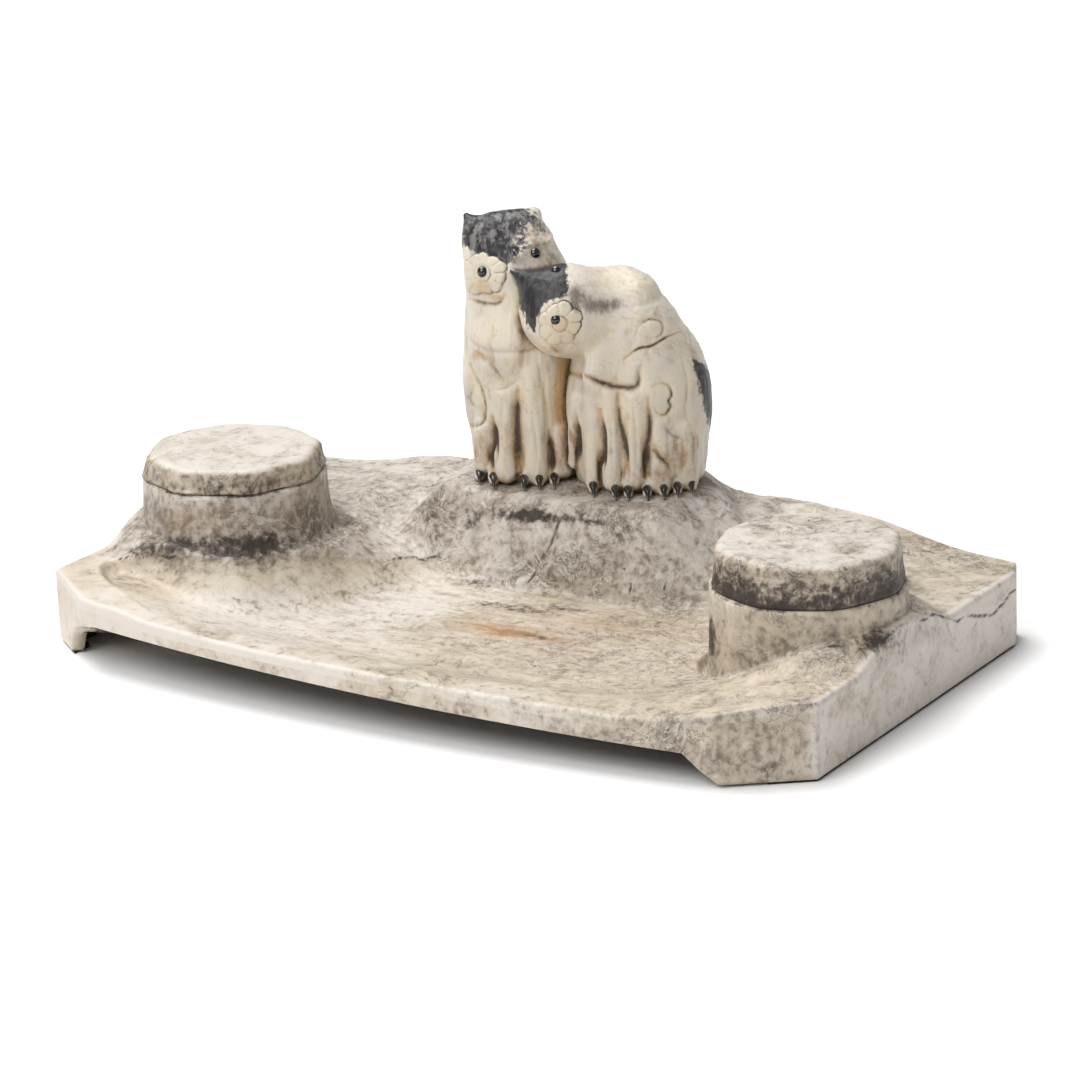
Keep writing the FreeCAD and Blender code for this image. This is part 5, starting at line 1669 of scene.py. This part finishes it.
class INKSTAND_OT_owls(Operator):
    """Model the two owls with their claws"""

    bl_idname = "inkstand.owls"
    bl_label = "Owls"

    def execute(self, context):
        settings = context.scene.inkstand_owls
        glaze = owl_ceramic(settings, context.scene.inkstand_tray)
        horn = Paint("claw_black").finish({"Base Color": CLAW_COLOUR, "Roughness": 0.25,
                                           "Coat Weight": 0.5})
        parts = {side: owl_parts(owl) for side, owl in OWLS.items()}
        fields = {side: (lambda p, s=side: owl_field(OWLS[s], parts[s], p)) for side in OWLS}
        for side, owl in OWLS.items():
            low, high = node_box(side + "_owl")
            points, faces = skin(fields[side], low - OWL_MARGIN, high + OWL_MARGIN, OWL_STEP)
            for _ in range(2):
                points -= fields[side](points)[:, None] * slope(fields[side], points)
            out = slope(fields[side], points)
            marks, push = owl_marks(side, points, out, fields)
            points += (settings.relief * push)[:, None] * out
            points[:, 2] = np.clip(points[:, 2], SEAT_HEIGHT - OWL_SINK, CAD_BOX[1][2] / MM)
            made = add_mesh(side + "_glazed_owl", points, faces.tolist(), marks)
            dress(made, "tray", "owl_ceramic", glaze, side + "_owl")
            claws = add_mesh(side + "_owl_claws", *claw_surface(owl))
            dress(claws, "tray", "owl_ceramic", horn)
        return {"FINISHED"}


# Stage, in millimetres except for the last two, in metres
FLOOR_REACH = 4000.0
KEY_PLACE = (-500.0, 150.0, 1200.0)
FILL_PLACE = (-80.0, -950.0, 1050.0)
FILL_SIZE = 0.9
CLIP_END = 20.0


class INKSTAND_OT_stage(Operator):
    """Lay the pale floor, hang the soft lights and aim the camera"""

    bl_idname = "inkstand.stage"
    bl_label = "Stage"

    def execute(self, context):
        settings = context.scene.inkstand_stage
        corners = [(x * FLOOR_REACH, y * FLOOR_REACH, 0.0) for x, y in ((-1, -1), (1, -1), (1, 1), (-1, 1))]
        floor = add_mesh("table", corners, [(0, 1, 2, 3)])
        paint = Paint("table_white")
        floor.data.materials.append(paint.finish({"Base Color": (*settings.floor, 1.0), "Roughness": 0.6}))
        key = self.light(context, "key", "SUN", KEY_PLACE, settings.key_strength)
        key.angle = settings.key_spread
        fill = self.light(context, "fill", "AREA", FILL_PLACE, settings.fill_power)
        fill.size = FILL_SIZE
        world = bpy.data.worlds.new("studio")
        world.use_nodes = True
        sky = world.node_tree.nodes["Background"].inputs
        sky["Color"].default_value = (1.0, 1.0, 1.0, 1.0)
        sky["Strength"].default_value = settings.sky
        context.scene.world = world
        context.scene.view_settings.view_transform = "Standard"
        camera = bpy.data.objects.new("view", bpy.data.cameras.new("view"))
        camera.data.sensor_width = SENSOR
        camera.data.lens = SENSOR * VIEW_FOCUS / VIEW_FRAME
        camera.data.clip_end = CLIP_END
        self.hang(context, camera, (RIGHT, UP, TOWARDS), VIEW_PLACE)
        context.scene.camera = camera
        return {"FINISHED"}

    def light(self, context, name, kind, place, power):
        """Light that faces the middle of the tray."""
        made = bpy.data.objects.new(name, bpy.data.lights.new(name, kind))
        made.data.energy = power
        away = np.array(place) / np.linalg.norm(place)
        side = np.cross([0.0, 1.0, 0.0], away)
        side /= np.linalg.norm(side)
        self.hang(context, made, (side, np.cross(away, side), away), place)
        return made.data

    def hang(self, context, made, axes, place):
        """Put a light or a camera into the scene with its axes, at a place in millimetres."""
        columns = np.column_stack([*axes, np.array(place) * MM])
        made.matrix_world = Matrix(np.vstack([columns, [0.0, 0.0, 0.0, 1.0]]).tolist())
        context.scene.collection.objects.link(made)


class INKSTAND_PT_panel(Panel):
    """Sizes and colours of the inkstand, and its operators"""

    bl_label = "Inkstand"
    bl_space_type = "VIEW_3D"
    bl_region_type = "UI"
    bl_category = "Inkstand"

    def draw(self, context):
        for operator in OPERATORS:
            self.layout.operator(operator.bl_idname)
        for key, group in SETTINGS.items():
            box = self.layout.box()
            for name in group.__annotations__:
                box.prop(getattr(context.scene, key), name)


SETTINGS = {"inkstand_tray": TraySettings, "inkstand_owls": OwlSettings, "inkstand_stage": StageSettings}
OPERATORS = (INKSTAND_OT_tray, INKSTAND_OT_lids, INKSTAND_OT_owls, INKSTAND_OT_fittings, INKSTAND_OT_stage)
CLASSES = (*SETTINGS.values(), *OPERATORS, INKSTAND_PT_panel)


def register():
    for cls in CLASSES:
        bpy.utils.register_class(cls)
    for key, group in SETTINGS.items():
        setattr(bpy.types.Scene, key, PointerProperty(type=group))


def unregister():
    for key in SETTINGS:
        delattr(bpy.types.Scene, key)
    for cls in reversed(CLASSES):
        bpy.utils.unregister_class(cls)


def main():
    register()
    for operator in OPERATORS:
        group, name = operator.bl_idname.split(".")
        getattr(getattr(bpy.ops, group), name)()


if __name__ == "__main__":
    main()
